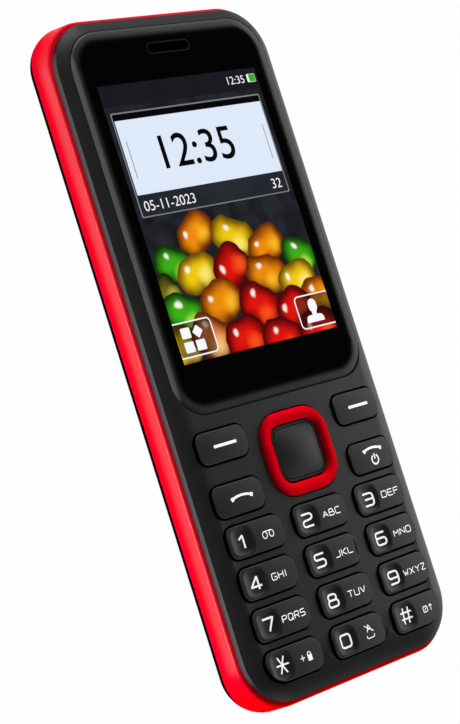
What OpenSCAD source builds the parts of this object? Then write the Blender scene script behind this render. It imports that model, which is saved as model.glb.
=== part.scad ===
// Candybar feature phone with a colour display, a navigation ring and a number pad.
// It lies on its back: X points to its right, Y towards the earpiece and Z out of the display.
// All sizes are in millimetres.

/* [Number keys] */
// Width of a number key of the middle column
key_w = 12.3; // [11:0.05:13]
// Width of a number key of the outer columns
side_key_w = 12.25; // [11:0.05:13.5]
// Height of a number key
key_h = 5.45; // [5:0.05:6.5]
// Corner radius of the keys in plan
key_r = 1.7; // [1:0.1:2.2]
// Large corner radius of the star and hash keys
key_corner_r = 3.9; // [2.4:0.1:4.6]
// Gap between two key columns
key_col_gap = 2.9; // [2.6:0.05:5]
// Gap between two key rows
key_row_gap = 1.68; // [1.6:0.01:3]
// Distance from the outer keys to the side of the front housing
key_side = 3.05; // [2.5:0.05:4]
// Distance from the lowest keys to the end of the front housing
key_bottom = 3.47; // [2:0.01:5]
// Height of the keys above the front face
key_proud = 0.4; // [0.4:0.05:1.2]
// Rounding of the upper edge of the keys
key_edge_r = 0.3; // [0.2:0.05:0.8]
// Depth of the finger dish in the number keys
key_dish = 0.35; // [0.15:0.05:0.5]
// Radius of the finger dish in the number keys
key_dish_r = 2.1; // [1.5:0.1:2.4]
// Travel of a key
key_travel = 0.35; // [0.2:0.05:0.5]

/* [Function keys] */
// Width of the soft, call and end keys
func_w = 10.8; // [9:0.1:11.4]
// Height of the soft, call and end keys
func_h = 5.4; // [5:0.1:7]
// Distance from the soft, call and end keys to the side of the front housing
func_side = 2.8; // [2.5:0.05:4]
// Gap between the soft keys and the call and end keys
func_gap = 3.75; // [3:0.05:5]
// Gap between the call and end keys and the first number row
func_row_gap = 1.65; // [1.6:0.05:3]

/* [Navigation] */
// Width of the navigation ring
nav_w = 15.6; // [14:0.1:16]
// Height of the navigation ring
nav_h = 14.6; // [13.4:0.1:15.5]
// Outer corner radius of the navigation ring
nav_r = 4.8; // [3.6:0.1:5.6]
// Width of the ring's band
nav_band = 2.15; // [1.7:0.05:2.4]
// Rounding of the ring's upper edges
nav_edge_r = 0.8; // [0.3:0.05:0.8]
// Height of the ring above the front face
nav_proud = 0.85; // [0.7:0.05:1.4]
// Height of the middle key above the front face
ok_proud = 0.65; // [0.6:0.05:1.1]
// Rise of the dome of the middle key
ok_dome = 0.45; // [0.3:0.05:0.6]

/* [Window and display] */
// Length of the display window
window_l = 67.6; // [64:0.1:75]
// Thickness of the display window
window_t = 1; // [0.8:0.05:1.5]
// Depth of the display window below the front face
window_drop = 0.45; // [0.1:0.05:0.6]
// Distance from the window to the side of the front housing
window_side = 2.1; // [1.6:0.05:3]
// Distance from the window to the top end of the front housing
window_top = 2; // [1.6:0.05:4]
// Distance from the window to the soft keys
window_gap = 2.8; // [2.2:0.05:5]
// Corner radius of the window at its top
window_top_r = 7; // [5:0.1:8]
// Corner radius of the window at its bottom
window_bottom_r = 6; // [4:0.1:8]
// Width of the display's picture
active_w = 36.72; // [34:0.02:38]
// Height of the display's picture
active_l = 48.96; // [46:0.02:51]
// Distance from the window's top end to the picture
active_top = 9.67; // [9:0.01:11]
// Thickness of the display module
display_t = 2.2; // [1.6:0.1:3]
// Dark border round the picture inside the display module
display_border = 2.1; // [1.4:0.1:2.2]
// Thickness of the foam gasket on the display module
gasket_t = 0.3; // [0.2:0.05:0.6]
// Width of the earpiece slot
ear_w = 9.6; // [7:0.1:12]
// Height of the earpiece slot
ear_h = 1.8; // [1.6:0.1:2.4]
// Distance from the window's top end to the middle of the earpiece slot
ear_top = 4.0; // [3.2:0.1:4.5]

/* [Casing] */
// Corner radius of the mid frame at the front, in plan
corner_r = 9.5; // [8.5:0.1:11]
// Corner radius of the mid frame and the rear cover lower down, in plan
low_corner_r = 7.5; // [6.6:0.1:8.4]
// Width of the mid frame's ledge round the front housing
ledge_w = 0.85; // [0.5:0.05:1.2]
// Height of the front housing above that ledge
front_h = 2.95; // [2.6:0.05:3.4]
// Width of the curve along the edge of the front face
crown_w = 5.5; // [4.5:0.1:6]
// Drop of the front face at its edge
crown_drop = 1.85; // [1.4:0.05:2]
// Wall thickness of the front housing
front_wall = 1.3; // [1.1:0.05:1.5]
// Thickness of the front housing's face
face_t = 1.65; // [1.45:0.05:1.8]
// Wall thickness of the mid frame
frame_wall = 1.5; // [1.3:0.05:1.8]
// Thickness of the rear cover
cover_t = 1; // [0.8:0.05:1.4]
// Height of the seam between the rear cover and the mid frame
seam_z = 4; // [3.2:0.1:4.2]
// Radius of the rounded edge of the back
back_r = 5.5; // [5:0.1:6.5]

/* [Inside] */
// Room between the battery bay and the screw heads beside it
bay_room = 1.2; // [0.6:0.1:2.5]
// Length of the battery
battery_l = 54; // [48:0.5:56]
// Thickness of the battery
battery_t = 4.1; // [3.6:0.1:6]
// Thickness of the inner chassis plate
chassis_t = 0.8; // [0.6:0.05:1.2]
// Thickness of the circuit board
pcb_t = 0.8; // [0.6:0.1:1.2]
// Radius of a case screw's shank
screw_r = 0.65; // [0.5:0.05:0.8]
// Radius of a case screw's head
screw_head_r = 1.2; // [1:0.05:1.5]
// Radius of a screw boss
boss_r = 1.25; // [1.1:0.05:1.5]
// Radius of the vibration motor
motor_r = 1.9; // [1.5:0.05:2]
// Width of the USB plug's opening
usb_w = 7.2; // [7:0.1:9]
// Height of the USB plug's opening
usb_h = 2; // [1.8:0.05:2.1]

/* [Clearances] */
// Gap between layers of the stack
stack_gap = 0.2; // [0.15:0.05:0.4]
// Gap between fitted pieces that don't move
fit_gap = 0.1; // [0.05:0.01:0.2]
// Gap round a key in its hole
key_gap = 0.35; // [0.2:0.01:0.4]
// Gap round the navigation ring and round the middle key
nav_gap = 0.25; // [0.2:0.01:0.35]
// Gap between pieces inside the casing
inner_gap = 0.3; // [0.2:0.05:0.5]
// Radial running gap of the motor's weight on its shaft
run_gap = 0.05; // [0.02:0.01:0.1]

/* [Hidden] */
$fn = 64;

// Colours of the materials
BLACK = "#242424";
GLOSS = "#060606";
RED = "#e3001c";
RUBBER = "#3a3a3c";
BOARD = "#1d5b34";
STEEL = "#b4b7ba";
GOLD = "#c9a24a";
DARK = "#17181a";

// Plan of the front housing and the mid frame, worked out from the keys and the window
key_rows = 4;
front_w = key_w + 2 * (side_key_w + key_col_gap + key_side);
rows_l = key_rows * key_h + (key_rows - 1) * key_row_gap;
front_l = window_top + window_l + window_gap + 2 * func_h + func_gap + func_row_gap + rows_l + key_bottom;
front_r = corner_r - ledge_w;
body_w = front_w + 2 * ledge_w;
body_l = front_l + 2 * ledge_w;
window_w = front_w - 2 * window_side;
window_y = front_l / 2 - window_top;
window_end_y = window_y - window_l;
active_y = window_y - active_top - active_l / 2;

// Heights through the display, from the back to the front face
battery_z = cover_t + stack_gap;
chassis_z = battery_z + battery_t + stack_gap;
pcb_z = chassis_z + chassis_t + stack_gap;
pcb_top = pcb_z + pcb_t;
display_z = pcb_top + stack_gap;
display_top = display_z + display_t;
window_z = display_top + gasket_t;
glass_z = window_z + window_t;
face_z = glass_z + window_drop;
ledge_z = face_z - front_h;
crown_r = (crown_w * crown_w + crown_drop * crown_drop) / (2 * crown_drop);

// Heights through the keypad, from the front face to the board
plate_z = face_z - face_t;
flange_t = 0.5;
flange_w = 0.65;
flange_z = plate_z - fit_gap / 2 - flange_t;
film_t = 0.1;
dome_h = 0.3;
dome_r = 2;
nav_dome_r = 1.2;
dome_top = pcb_top + film_t + dome_h;
plunger_r = 1.2;
plunger_z = dome_top + key_travel + fit_gap / 2;
mat_t = 0.4;
mat_rim = 0.6;
mat_top = flange_z - key_travel - fit_gap;

// Inner faces of the casing
cavity_w = front_w - 2 * front_wall;
cavity_l = front_l - 2 * front_wall;
cavity_r = front_r - front_wall;
window_floor_z = plate_z - window_t;
lip_z = pcb_top - fit_gap;
frame_in_w = body_w - 2 * frame_wall;
frame_in_l = body_l - 2 * frame_wall;
frame_in_r = corner_r - frame_wall;
rib_w = 0.7;
rib_top = lip_z - fit_gap;
rib_z = chassis_z + chassis_t + fit_gap;
lip_t = 0.6;
lip_h = 0.8;
chassis_w = frame_in_w - 2 * fit_gap;
chassis_l = frame_in_l - 2 * fit_gap;
pcb_w = frame_in_w - 2 * rib_w - 2 * fit_gap - 2 * fit_gap;
pcb_l = frame_in_l - 2 * rib_w - 2 * fit_gap - 2 * fit_gap;
pcb_r = frame_in_r - rib_w - 2 * fit_gap;

// Places of the keys
func_x = front_w / 2 - func_side - func_w / 2;
soft_y = window_end_y - window_gap - func_h / 2;
call_y = soft_y - func_h - func_gap;
nav_y = (soft_y + call_y) / 2;
row_y = call_y - func_h / 2 - func_row_gap - key_h / 2;
col_pitch = (key_w + side_key_w) / 2 + key_col_gap;
row_pitch = key_h + key_row_gap;
pad_top = soft_y + func_h / 2 + flange_w + fit_gap;
pad_bottom = -cavity_l / 2 + inner_gap;

// Each key: name, x, y, width, height, finger dish, side of its large lower corner
KEYS = [
    ["soft_key_left", -func_x, soft_y, func_w, func_h, false, 0],
    ["soft_key_right", func_x, soft_y, func_w, func_h, false, 0],
    ["call_key", -func_x, call_y, func_w, func_h, false, 0],
    ["end_key", func_x, call_y, func_w, func_h, false, 0],
    ["key_1", -col_pitch, row_y, side_key_w, key_h, true, 0],
    ["key_2", 0, row_y, key_w, key_h, true, 0],
    ["key_3", col_pitch, row_y, side_key_w, key_h, true, 0],
    ["key_4", -col_pitch, row_y - row_pitch, side_key_w, key_h, true, 0],
    ["key_5", 0, row_y - row_pitch, key_w, key_h, true, 0],
    ["key_6", col_pitch, row_y - row_pitch, side_key_w, key_h, true, 0],
    ["key_7", -col_pitch, row_y - 2 * row_pitch, side_key_w, key_h, true, 0],
    ["key_8", 0, row_y - 2 * row_pitch, key_w, key_h, true, 0],
    ["key_9", col_pitch, row_y - 2 * row_pitch, side_key_w, key_h, true, 0],
    ["key_star", -col_pitch, row_y - 3 * row_pitch, side_key_w, key_h, true, -1],
    ["key_0", 0, row_y - 3 * row_pitch, key_w, key_h, true, 0],
    ["key_hash", col_pitch, row_y - 3 * row_pitch, side_key_w, key_h, true, 1]
];
dish_side = 0.45;

// Navigation ring, its carrier and the middle key
nav_flange_gap = 0.5;
nav_flange_w = 0.4;
nav_flange_t = 0.4;
nav_z = plate_z - nav_flange_gap - nav_flange_t;
nav_hole_w = nav_w + 2 * nav_gap;
nav_hole_h = nav_h + 2 * nav_gap;
nav_rock_gap = 0.3;
carrier_t = 0.4;
carrier_top = nav_z - nav_rock_gap;
carrier_z = carrier_top - carrier_t;
pivot_r = 0.3;
pivot_gap = 0.03;
ring_pivot_z = nav_z - pivot_gap;
carrier_pivot_z = pcb_top + film_t + pivot_gap;
ok_w = nav_w - 2 * nav_band - 2 * nav_gap;
ok_h = nav_h - 2 * nav_band - 2 * nav_gap;
ok_r = nav_r - nav_band - nav_gap;
ok_z = nav_z + key_travel + fit_gap;
ok_plunger_r = 1.4;
carrier_room = 1.6;
carrier_hole = 2 * (ok_plunger_r + carrier_room);
nav_dome_x = nav_w / 2 - nav_dome_r;
nav_dome_y = nav_h / 2 - nav_dome_r;

// Screw bosses
boss_corner_in = 3.85;
boss_room = 0.5;
boss_top_x = window_w / 2 - boss_corner_in;
boss_top_y = window_y - boss_corner_in;
boss_mid_x = window_w / 2 - boss_r - boss_room;
boss_mid_y = pad_top + fit_gap + boss_r + inner_gap;
boss_low_x = (key_w + key_col_gap) / 2;
boss_low_y = row_y - 2.5 * row_pitch;
BOSSES = [
    for (s = [-1, 1]) [s * boss_top_x, boss_top_y, window_floor_z],
    for (s = [-1, 1]) [s * boss_mid_x, boss_mid_y, window_floor_z],
    for (s = [-1, 1]) [s * boss_low_x, boss_low_y, plate_z]
];
screw_gap = 0.05;
screw_hole_r = screw_r + 3 * screw_gap;
screw_head_t = 0.8;

// Display module and earpiece
display_w = active_w + 2 * display_border;
display_side = window_w / 2 - display_w / 2 - 2 * inner_gap;
display_foot = window_bottom_r - sqrt(pow(window_bottom_r, 2) - pow(window_bottom_r - display_side, 2));
display_end_y = max(boss_mid_y + boss_r, window_end_y + display_foot) + inner_gap;
display_top_y = active_y + active_l / 2 + display_border;
display_l = display_top_y - display_end_y;
display_y = (display_top_y + display_end_y) / 2;
ear_y = window_y - ear_top;
slot_flat = 0.01;
ear_r = ear_h / 2 - slot_flat;
ear_box_w = 12;
ear_box_l = 5.6;
ear_box_y = max(ear_y, display_top_y + 2 * inner_gap + ear_box_l / 2);
mesh_t = 0.3;
mesh_drop = 0.25;

// Battery, holders and the other pieces under the board
battery_y = -14;
battery_end_y = battery_y + battery_l / 2;
battery_r = 1.5;
bay_wall = 0.8;
battery_w = 2 * (boss_mid_x - screw_head_r - bay_room - bay_wall - inner_gap);
bay_w = battery_w + 2 * inner_gap;
bay_l = battery_l + 2 * inner_gap;
under_z = pcb_z - fit_gap / 2;
contact_y = battery_end_y + inner_gap + bay_wall + inner_gap;
contact_w = 10;
contact_l = 2;
contact_h = 3.4;
finger_gap = 0.05;
sim_y = contact_y + contact_l + inner_gap;
sim_w = 17;
sim_l = 13;
sim_h = 1.7;
sim_side = 3.8;
sim_x = pcb_w / 2 - sim_side - sim_w / 2;
memory_w = 15;
memory_l = 10.5;
memory_h = 1.45;
memory_y = sim_y + sim_l + inner_gap;
slot_top_y = memory_y + memory_l + inner_gap;
top_y = slot_top_y + 2 * inner_gap;
speaker_w = 14;
speaker_l = 9.4;
speaker_h = 3.1;
speaker_side = 5.8;
speaker_x = -pcb_w / 2 + speaker_side + speaker_w / 2;
speaker_y = top_y + speaker_l / 2;
speaker_z = chassis_z - fit_gap - speaker_h;
camera_s = 8;
camera_side = 8.8;
camera_x = pcb_w / 2 - camera_side - camera_s / 2;
camera_y = top_y + camera_s / 2;
camera_r = 2.5;
camera_z = cover_t + inner_gap;
camera_window_r = 3.2;
camera_window_drop = 0.15;
camera_window_t = cover_t - 2 * camera_window_drop;
bottom_y = battery_y - bay_l / 2 - bay_wall - inner_gap;
antenna_side = 4.8;
antenna_w = pcb_w - 2 * antenna_side;
antenna_h = 3.1;
motor_x = boss_low_x + screw_head_r + 2 * inner_gap;
motor_l = 6;
motor_y = boss_low_y;
motor_z = chassis_z - fit_gap - motor_r;
antenna_l = bottom_y - motor_y - motor_r - inner_gap;
shaft_r = 0.4;
shaft_l = 3.4;
weight_x = motor_x + motor_l + inner_gap;
weight_l = 2.6;
usb_wall = 0.3;
usb_l = 5.2;
usb_body_h = usb_h + 2 * usb_wall;
usb_z = seam_z + usb_wall / 2 + usb_h / 2;
usb_y = -frame_in_l / 2 + max(rib_w, lip_t + fit_gap) + fit_gap;
mic_r = 2;
mic_h = 1.4;
mic_side = 8.8;
mic_x = -pcb_w / 2 + mic_side;
mic_in = 1.2;
mic_y = usb_y + mic_r + mic_in;
mic_hole_r = 0.5;
can_w = 28;
can_l = 36;
can_h = pcb_z - battery_z - battery_t - fit_gap / 2;
can_wall = 0.15;
can_y = battery_y;
chip_s = 11;
chip_h = 0.7;

// A rectangle with round corners, in plan
module round_rect(w, h, r) {
    square([w, h - 2 * r], center = true);
    square([w - 2 * r, h], center = true);
    for (x = [-1, 1], y = [-1, 1])
        translate([x * (w / 2 - r), y * (h / 2 - r)]) circle(r);
}

// A plate with round corners whose lower face is at height z
module plate(w, h, r, z, t) {
    translate([0, 0, z]) linear_extrude(t) round_rect(w, h, r);
}

// A box centred in x and y whose lower face is at height z
module box_at(x, y, z, size) {
    translate([x - size[0] / 2, y - size[1] / 2, z]) cube(size);
}

// Sweeps a section along a rectangle with round corners; the section's x runs out from the corner centres
module sweep(w, l, r) {
    cx = w / 2 - r;
    cy = l / 2 - r;
    for (c = [[1, 1, 0], [-1, 1, 90], [-1, -1, 180], [1, -1, 270]])
        translate([c[0] * cx, c[1] * cy, 0]) rotate(c[2]) rotate_extrude(angle = 90) children();
    for (s = [0, 180]) {
        rotate(s) translate([cx, cy, 0]) rotate([90, 0, 0]) linear_extrude(2 * cy) children();
        rotate(s + 90) translate([cy, cx, 0]) rotate([90, 0, 0]) linear_extrude(2 * cx) children();
    }
}

// A block with round corners in plan and a rounded upper edge
module pillow(w, l, r, z, top, edge) {
    h = top - z;
    sweep(w, l, r) translate([0, z]) {
        square([r - edge, h]);
        square([r, h - edge]);
        translate([r - edge, h - edge]) circle(edge);
    }
    box_at(0, 0, z, [w - 2 * r, l - 2 * r, h]);
}

// The front housing's outer form, with the curve along the edge of its face
module crown_block(z) {
    sweep(front_w, front_l, front_r) {
        translate([0, z]) square([front_r - crown_w, face_z - z]);
        intersection() {
            translate([front_r - crown_w, face_z - crown_r]) circle(crown_r);
            translate([front_r - crown_w, z]) square([crown_w, face_z - z]);
        }
    }
    box_at(0, 0, z, [front_w - 2 * front_r, front_l - 2 * front_r, face_z - z]);
}

// Section of the rounded back, pulled in by the given thickness
module back_section(inset) {
    translate([low_corner_r - back_r, back_r]) circle(back_r - inset);
    translate([0, inset]) square([low_corner_r - back_r, back_r]);
    translate([0, back_r]) square([low_corner_r - inset, face_z]);
}

// Outline of the display window, in plan
module window_plan(grow) {
    half = window_w / 2 + grow;
    top_r = window_top_r + grow;
    end_r = window_bottom_r + grow;
    top = window_y + grow;
    end = window_end_y - grow;
    translate([-half, end + end_r]) square([2 * half, top - end - top_r - end_r]);
    translate([-half + top_r, end + end_r]) square([2 * (half - top_r), top - end - end_r]);
    translate([-half + end_r, end]) square([2 * (half - end_r), top - end - top_r]);
    for (s = [-1, 1]) {
        translate([s * (half - top_r), top - top_r]) circle(top_r);
        translate([s * (half - end_r), end + end_r]) circle(end_r);
    }
}

// Outline of a key in plan, with the large corner of the two lowest outer keys
module key_plan(k, grow) {
    w = k[3] + 2 * grow;
    h = k[4] + 2 * grow;
    big = key_corner_r + grow;
    difference() {
        round_rect(w, h, key_r + grow);
        if (k[6] != 0) mirror([k[6] > 0 ? 1 : 0, 0]) translate([-w / 2, -h / 2]) difference() {
            translate([-1, -1]) square(big + 1);
            translate([big, big]) circle(big);
        }
    }
}

module front_housing() color(BLACK) {
    bore_top = 0.6;
    difference() {
        crown_block(ledge_z);
        plate(cavity_w, cavity_l, cavity_r, ledge_z - 1, window_floor_z - ledge_z + 1);
        translate([0, 0, window_floor_z - 1]) linear_extrude(plate_z - window_floor_z + 1) intersection() {
            round_rect(cavity_w, cavity_l, cavity_r);
            translate([-front_w / 2, -front_l / 2]) square([front_w, pad_top + front_l / 2]);
        }
        translate([0, 0, window_z]) linear_extrude(face_z - window_z + 1) window_plan(fit_gap);
        box_at(0, display_y, window_floor_z - 1,
            [display_w + 2 * inner_gap, display_l + 2 * inner_gap, face_t + 2]);
        translate([0, ear_y, 0]) plate(ear_w, ear_h, ear_r, window_floor_z - 1, face_t + 2);
        for (k = KEYS)
            translate([k[1], k[2], plate_z - 1]) linear_extrude(face_t + 2) key_plan(k, key_gap);
        translate([0, nav_y, 0]) plate(nav_hole_w, nav_hole_h, nav_r + nav_gap, plate_z - 1, face_t + 2);
    }
    difference() {
        plate(chassis_w, chassis_l, frame_in_r - fit_gap, lip_z, ledge_z - lip_z);
        plate(cavity_w, cavity_l, cavity_r, lip_z - 1, ledge_z - lip_z + 2);
    }
    for (b = BOSSES) translate([b[0], b[1], pcb_top]) difference() {
        cylinder(r = boss_r, h = b[2] - pcb_top);
        translate([0, 0, -1]) cylinder(r = screw_r + screw_gap, h = b[2] - pcb_top - bore_top + 1);
    }
}

// What the mid frame's corners lose above the rounded back, where their radius grows towards the front
module corner_flare() {
    h = ledge_z - back_r;
    lean = (low_corner_r - corner_r) / h;
    for (x = [0, 1], y = [0, 1]) mirror([x, 0]) mirror([0, y])
        translate([body_w / 2 - low_corner_r, body_l / 2 - low_corner_r, back_r])
            multmatrix([[1, 0, lean, 0], [0, 1, lean, 0], [0, 0, 1, 0], [0, 0, 0, 1]]) difference() {
                cube([2 * corner_r, 2 * corner_r, h]);
                cylinder(r1 = low_corner_r, r2 = corner_r, h = h);
            }
}

module mid_frame() color(RED) {
    difference() {
        union() {
            sweep(body_w, body_l, low_corner_r) intersection() {
                back_section(0);
                translate([0, seam_z]) square([low_corner_r, back_r - seam_z]);
            }
            box_at(0, 0, back_r, [body_w, body_l, ledge_z - back_r]);
        }
        corner_flare();
        plate(frame_in_w, frame_in_l, frame_in_r, seam_z - 1, ledge_z - seam_z + 2);
        box_at(0, -body_l / 2, usb_z - usb_h / 2, [usb_w, 4 * frame_wall, usb_h]);
        translate([mic_x, -body_l / 2 - 1, usb_z])
            rotate([-90, 0, 0]) cylinder(r = mic_hole_r, h = frame_wall + 2);
    }
    difference() {
        sweep(body_w, body_l, corner_r)
            translate([corner_r - frame_wall - rib_w, rib_z]) square([rib_w, rib_top - rib_z]);
        box_at(0, -body_l / 2, usb_z - usb_h / 2, [usb_w, 4 * frame_wall, usb_h]);
    }
}

module rear_cover() color(BLACK) {
    slots = 5;
    slot_w = 8;
    slot_h = 0.9;
    slot_pitch = 1.8;
    difference() {
        union() {
            sweep(body_w, body_l, low_corner_r) difference() {
                intersection() {
                    back_section(0);
                    square([low_corner_r, seam_z]);
                }
                back_section(cover_t);
            }
            sweep(body_w, body_l, corner_r)
                translate([corner_r - frame_wall - fit_gap - lip_t, seam_z - cover_t])
                    square([lip_t, cover_t + lip_h]);
            box_at(0, 0, 0, [body_w - 2 * low_corner_r, body_l - 2 * low_corner_r, cover_t]);
        }
        box_at(0, -frame_in_l / 2, seam_z, [usb_w + 2 * fit_gap, 4 * lip_t, 2 * lip_h]);
        translate([camera_x, camera_y, -1]) cylinder(r = camera_window_r, h = cover_t + 2);
        for (i = [0 : slots - 1])
            translate([speaker_x, speaker_y + (i - (slots - 1) / 2) * slot_pitch, -1])
                linear_extrude(cover_t + 2) round_rect(slot_w, slot_h, slot_h / 2 - slot_flat);
    }
}

module display_window() color(GLOSS) difference() {
    intersection() {
        translate([0, 0, window_z]) linear_extrude(window_t) window_plan(0);
        crown_block(window_z);
    }
    translate([0, ear_y, 0]) plate(ear_w, ear_h, ear_r, window_z - 1, window_t + 2);
}

module earpiece_mesh() color(DARK) {
    hole_r = 0.28;
    pitch = 0.85;
    holes = 9;
    edge = ear_r - fit_gap / 2;
    translate([0, ear_y, 0]) difference() {
        plate(ear_w - fit_gap, ear_h - fit_gap, edge, glass_z - mesh_drop - mesh_t, mesh_t);
        for (i = [0 : holes - 1], s = [-1, 1])
            translate([(i - (holes - 1) / 2) * pitch, s * pitch / 2, glass_z - mesh_drop - mesh_t - 1])
                cylinder(r = hole_r, h = mesh_t + 2);
    }
}

// A key with its rounded cap, retaining flange and plunger
module key_piece(k) color(BLACK) translate([k[1], k[2], 0]) {
    dish_x = -k[3] / 2 + key_edge_r + key_dish_r + dish_side;
    dish_ball = (key_dish_r * key_dish_r + key_dish * key_dish) / (2 * key_dish);
    top = face_z + key_proud;
    difference() {
        intersection() {
            pillow(k[3], k[4], key_r, flange_z, top, key_edge_r);
            if (k[6] != 0) translate([0, 0, flange_z]) linear_extrude(top) key_plan(k, 0);
        }
        if (k[5]) translate([dish_x, 0, top + dish_ball - key_dish]) sphere(dish_ball);
    }
    difference() {
        translate([0, 0, flange_z]) linear_extrude(flange_t) intersection() {
            key_plan(k, flange_w);
            translate([-k[1], -k[2]])
                round_rect(cavity_w - 2 * key_gap, cavity_l - 2 * key_gap, cavity_r - key_gap);
        }
        translate([0, 0, flange_z - 1]) linear_extrude(flange_t + 2) key_plan(k, -key_edge_r);
    }
    translate([0, 0, plunger_z]) cylinder(r = plunger_r, h = flange_z - plunger_z);
}

module nav_ring() color(RED) translate([0, nav_y, 0]) sweep(nav_w, nav_h, nav_r) {
    top = face_z + nav_proud;
    translate([nav_r - nav_band, nav_z]) square([nav_band, top - nav_edge_r - nav_z]);
    translate([nav_r - nav_band + nav_edge_r, nav_z]) square([nav_band - 2 * nav_edge_r, top - nav_z]);
    for (x = [nav_r - nav_band + nav_edge_r, nav_r - nav_edge_r])
        translate([x, top - nav_edge_r]) circle(nav_edge_r);
    translate([nav_r - nav_band / 2, nav_z]) square([nav_band / 2 + nav_flange_w, nav_flange_t]);
}

module nav_carrier() color(RUBBER) translate([0, nav_y, 0]) {
    rib_l = 1.4;
    rib_side = 1.2;
    rib_off = 0.9;
    rib_x = nav_w / 2 - rib_side;
    rib_y = carrier_hole / 2 + rib_off;
    carrier_r = 1;
    stem_h = carrier_z - carrier_pivot_z - pivot_r;
    difference() {
        plate(nav_w, nav_h, nav_r, carrier_z, carrier_t);
        plate(carrier_hole, carrier_hole, carrier_r, carrier_z - 1, carrier_t + 2);
    }
    for (s = [-1, 1]) {
        translate([s * rib_x - rib_l / 2, 0, ring_pivot_z - pivot_r])
            rotate([0, 90, 0]) cylinder(r = pivot_r, h = rib_l);
        translate([0, s * rib_y - rib_l / 2, carrier_pivot_z + pivot_r])
            rotate([-90, 0, 0]) cylinder(r = pivot_r, h = rib_l);
        box_at(0, s * rib_y, carrier_pivot_z + pivot_r, [2 * pivot_r, rib_l, stem_h]);
    }
}

module ok_key() color(BLACK) translate([0, nav_y, 0]) {
    half = min(ok_w, ok_h) / 2 - key_edge_r;
    ball = (half * half + ok_dome * ok_dome) / (2 * ok_dome);
    top = face_z + ok_proud;
    intersection() {
        pillow(ok_w, ok_h, ok_r, ok_z, top, key_edge_r);
        translate([0, 0, top - ball]) sphere(ball);
    }
    translate([0, 0, plunger_z]) cylinder(r = ok_plunger_r, h = ok_z - plunger_z);
}

// Plan of the keypad's rubber and film
module pad_plan() {
    w = pcb_w - 2 * fit_gap;
    intersection() {
        round_rect(w, pcb_l - 2 * fit_gap, pcb_r - fit_gap);
        translate([-w / 2, pad_bottom]) square([w, pad_top - pad_bottom]);
    }
}

module low_boss_holes(z, h) {
    for (s = [-1, 1]) translate([s * boss_low_x, boss_low_y, z]) cylinder(r = boss_r + inner_gap, h = h);
}

module keypad_mat() color(RUBBER) {
    mat_z = mat_top - mat_t;
    foot_z = pcb_top + film_t;
    nav_room = nav_flange_w + inner_gap;
    difference() {
        translate([0, 0, foot_z]) linear_extrude(mat_top - foot_z) pad_plan();
        translate([0, (pad_top + pad_bottom) / 2, foot_z - 1]) linear_extrude(mat_z - foot_z + 1)
            square([pcb_w - 2 * (fit_gap + mat_rim), pad_top - pad_bottom - 2 * mat_rim], center = true);
        for (k = KEYS)
            translate([k[1], k[2], foot_z - 1]) cylinder(r = plunger_r + inner_gap, h = mat_top);
        translate([0, nav_y, 0])
            plate(nav_w + 2 * nav_room, nav_h + 2 * nav_room, nav_r + nav_room, foot_z - 1, mat_top);
        low_boss_holes(foot_z - 1, mat_top);
    }
}

// A shallow snap dome that stands on the film
module dome(x, y, r) {
    ball = (r * r + dome_h * dome_h) / (2 * dome_h);
    translate([x, y, pcb_top + film_t]) intersection() {
        translate([0, 0, dome_h - ball]) sphere(ball);
        cylinder(r = r, h = dome_h);
    }
}

module dome_sheet() color(STEEL) {
    difference() {
        translate([0, 0, pcb_top]) linear_extrude(film_t) pad_plan();
        low_boss_holes(pcb_top - 1, 2);
    }
    for (k = KEYS) dome(k[1], k[2], dome_r);
    dome(0, nav_y, dome_r);
    for (s = [-1, 1]) {
        dome(s * nav_dome_x, nav_y, nav_dome_r);
        dome(0, nav_y + s * nav_dome_y, nav_dome_r);
    }
}

module circuit_board() color(BOARD) difference() {
    plate(pcb_w, pcb_l, pcb_r, pcb_z, pcb_t);
    for (b = BOSSES)
        translate([b[0], b[1], pcb_z - 1]) cylinder(r = screw_hole_r, h = pcb_t + 2);
}

module display_module() color(DARK) difference() {
    frame_t = 0.4;
    box_at(0, display_y, display_z, [display_w, display_l, display_t]);
    box_at(0, active_y, display_top - frame_t / 2, [active_w, active_l, frame_t]);
}

module display_gasket() color(RUBBER) difference() {
    gasket_w = 1;
    box_at(0, display_y, display_top, [display_w, display_l, gasket_t]);
    box_at(0, display_y, display_top - 1,
        [display_w - 2 * gasket_w, display_l - 2 * gasket_w, gasket_t + 2]);
}

module display_flex() color(GOLD) {
    flex_w = 14;
    flex_l = 9;
    flex_in = 2;
    flex_gap = 0.04;
    box_at(0, display_end_y + flex_in + flex_l / 2, pcb_top + flex_gap,
        [flex_w, flex_l, stack_gap - 2 * flex_gap]);
}

module earpiece_speaker() color(STEEL) {
    end_r = 2.3;
    translate([0, ear_box_y, 0])
        plate(ear_box_w, ear_box_l, end_r, pcb_top, window_floor_z - fit_gap / 2 - pcb_top);
}

module loudspeaker() color(DARK) difference() {
    cone_r = 3.4;
    cone_drop = 0.5;
    box_at(speaker_x, speaker_y, speaker_z, [speaker_w, speaker_l, speaker_h]);
    translate([speaker_x, speaker_y, speaker_z - 1]) cylinder(r = cone_r, h = cone_drop + 1);
}

module microphone() color(STEEL)
    translate([mic_x, mic_y, under_z - mic_h]) cylinder(r = mic_r, h = mic_h);

module vibration_motor() color(STEEL) translate([motor_x, motor_y, motor_z]) rotate([0, 90, 0]) {
    cylinder(r = motor_r, h = motor_l);
    cylinder(r = shaft_r, h = motor_l + shaft_l);
}

module vibration_weight() color(GOLD)
    translate([weight_x, motor_y, motor_z]) rotate([0, 90, 0]) difference() {
        union() {
            cylinder(r = 2 * shaft_r, h = weight_l);
            intersection() {
                cylinder(r = motor_r - fit_gap, h = weight_l);
                translate([0, -motor_r, 0]) cube([motor_r, 2 * motor_r, weight_l]);
            }
        }
        translate([0, 0, -1]) cylinder(r = shaft_r + run_gap, h = weight_l + 2);
    }

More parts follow.
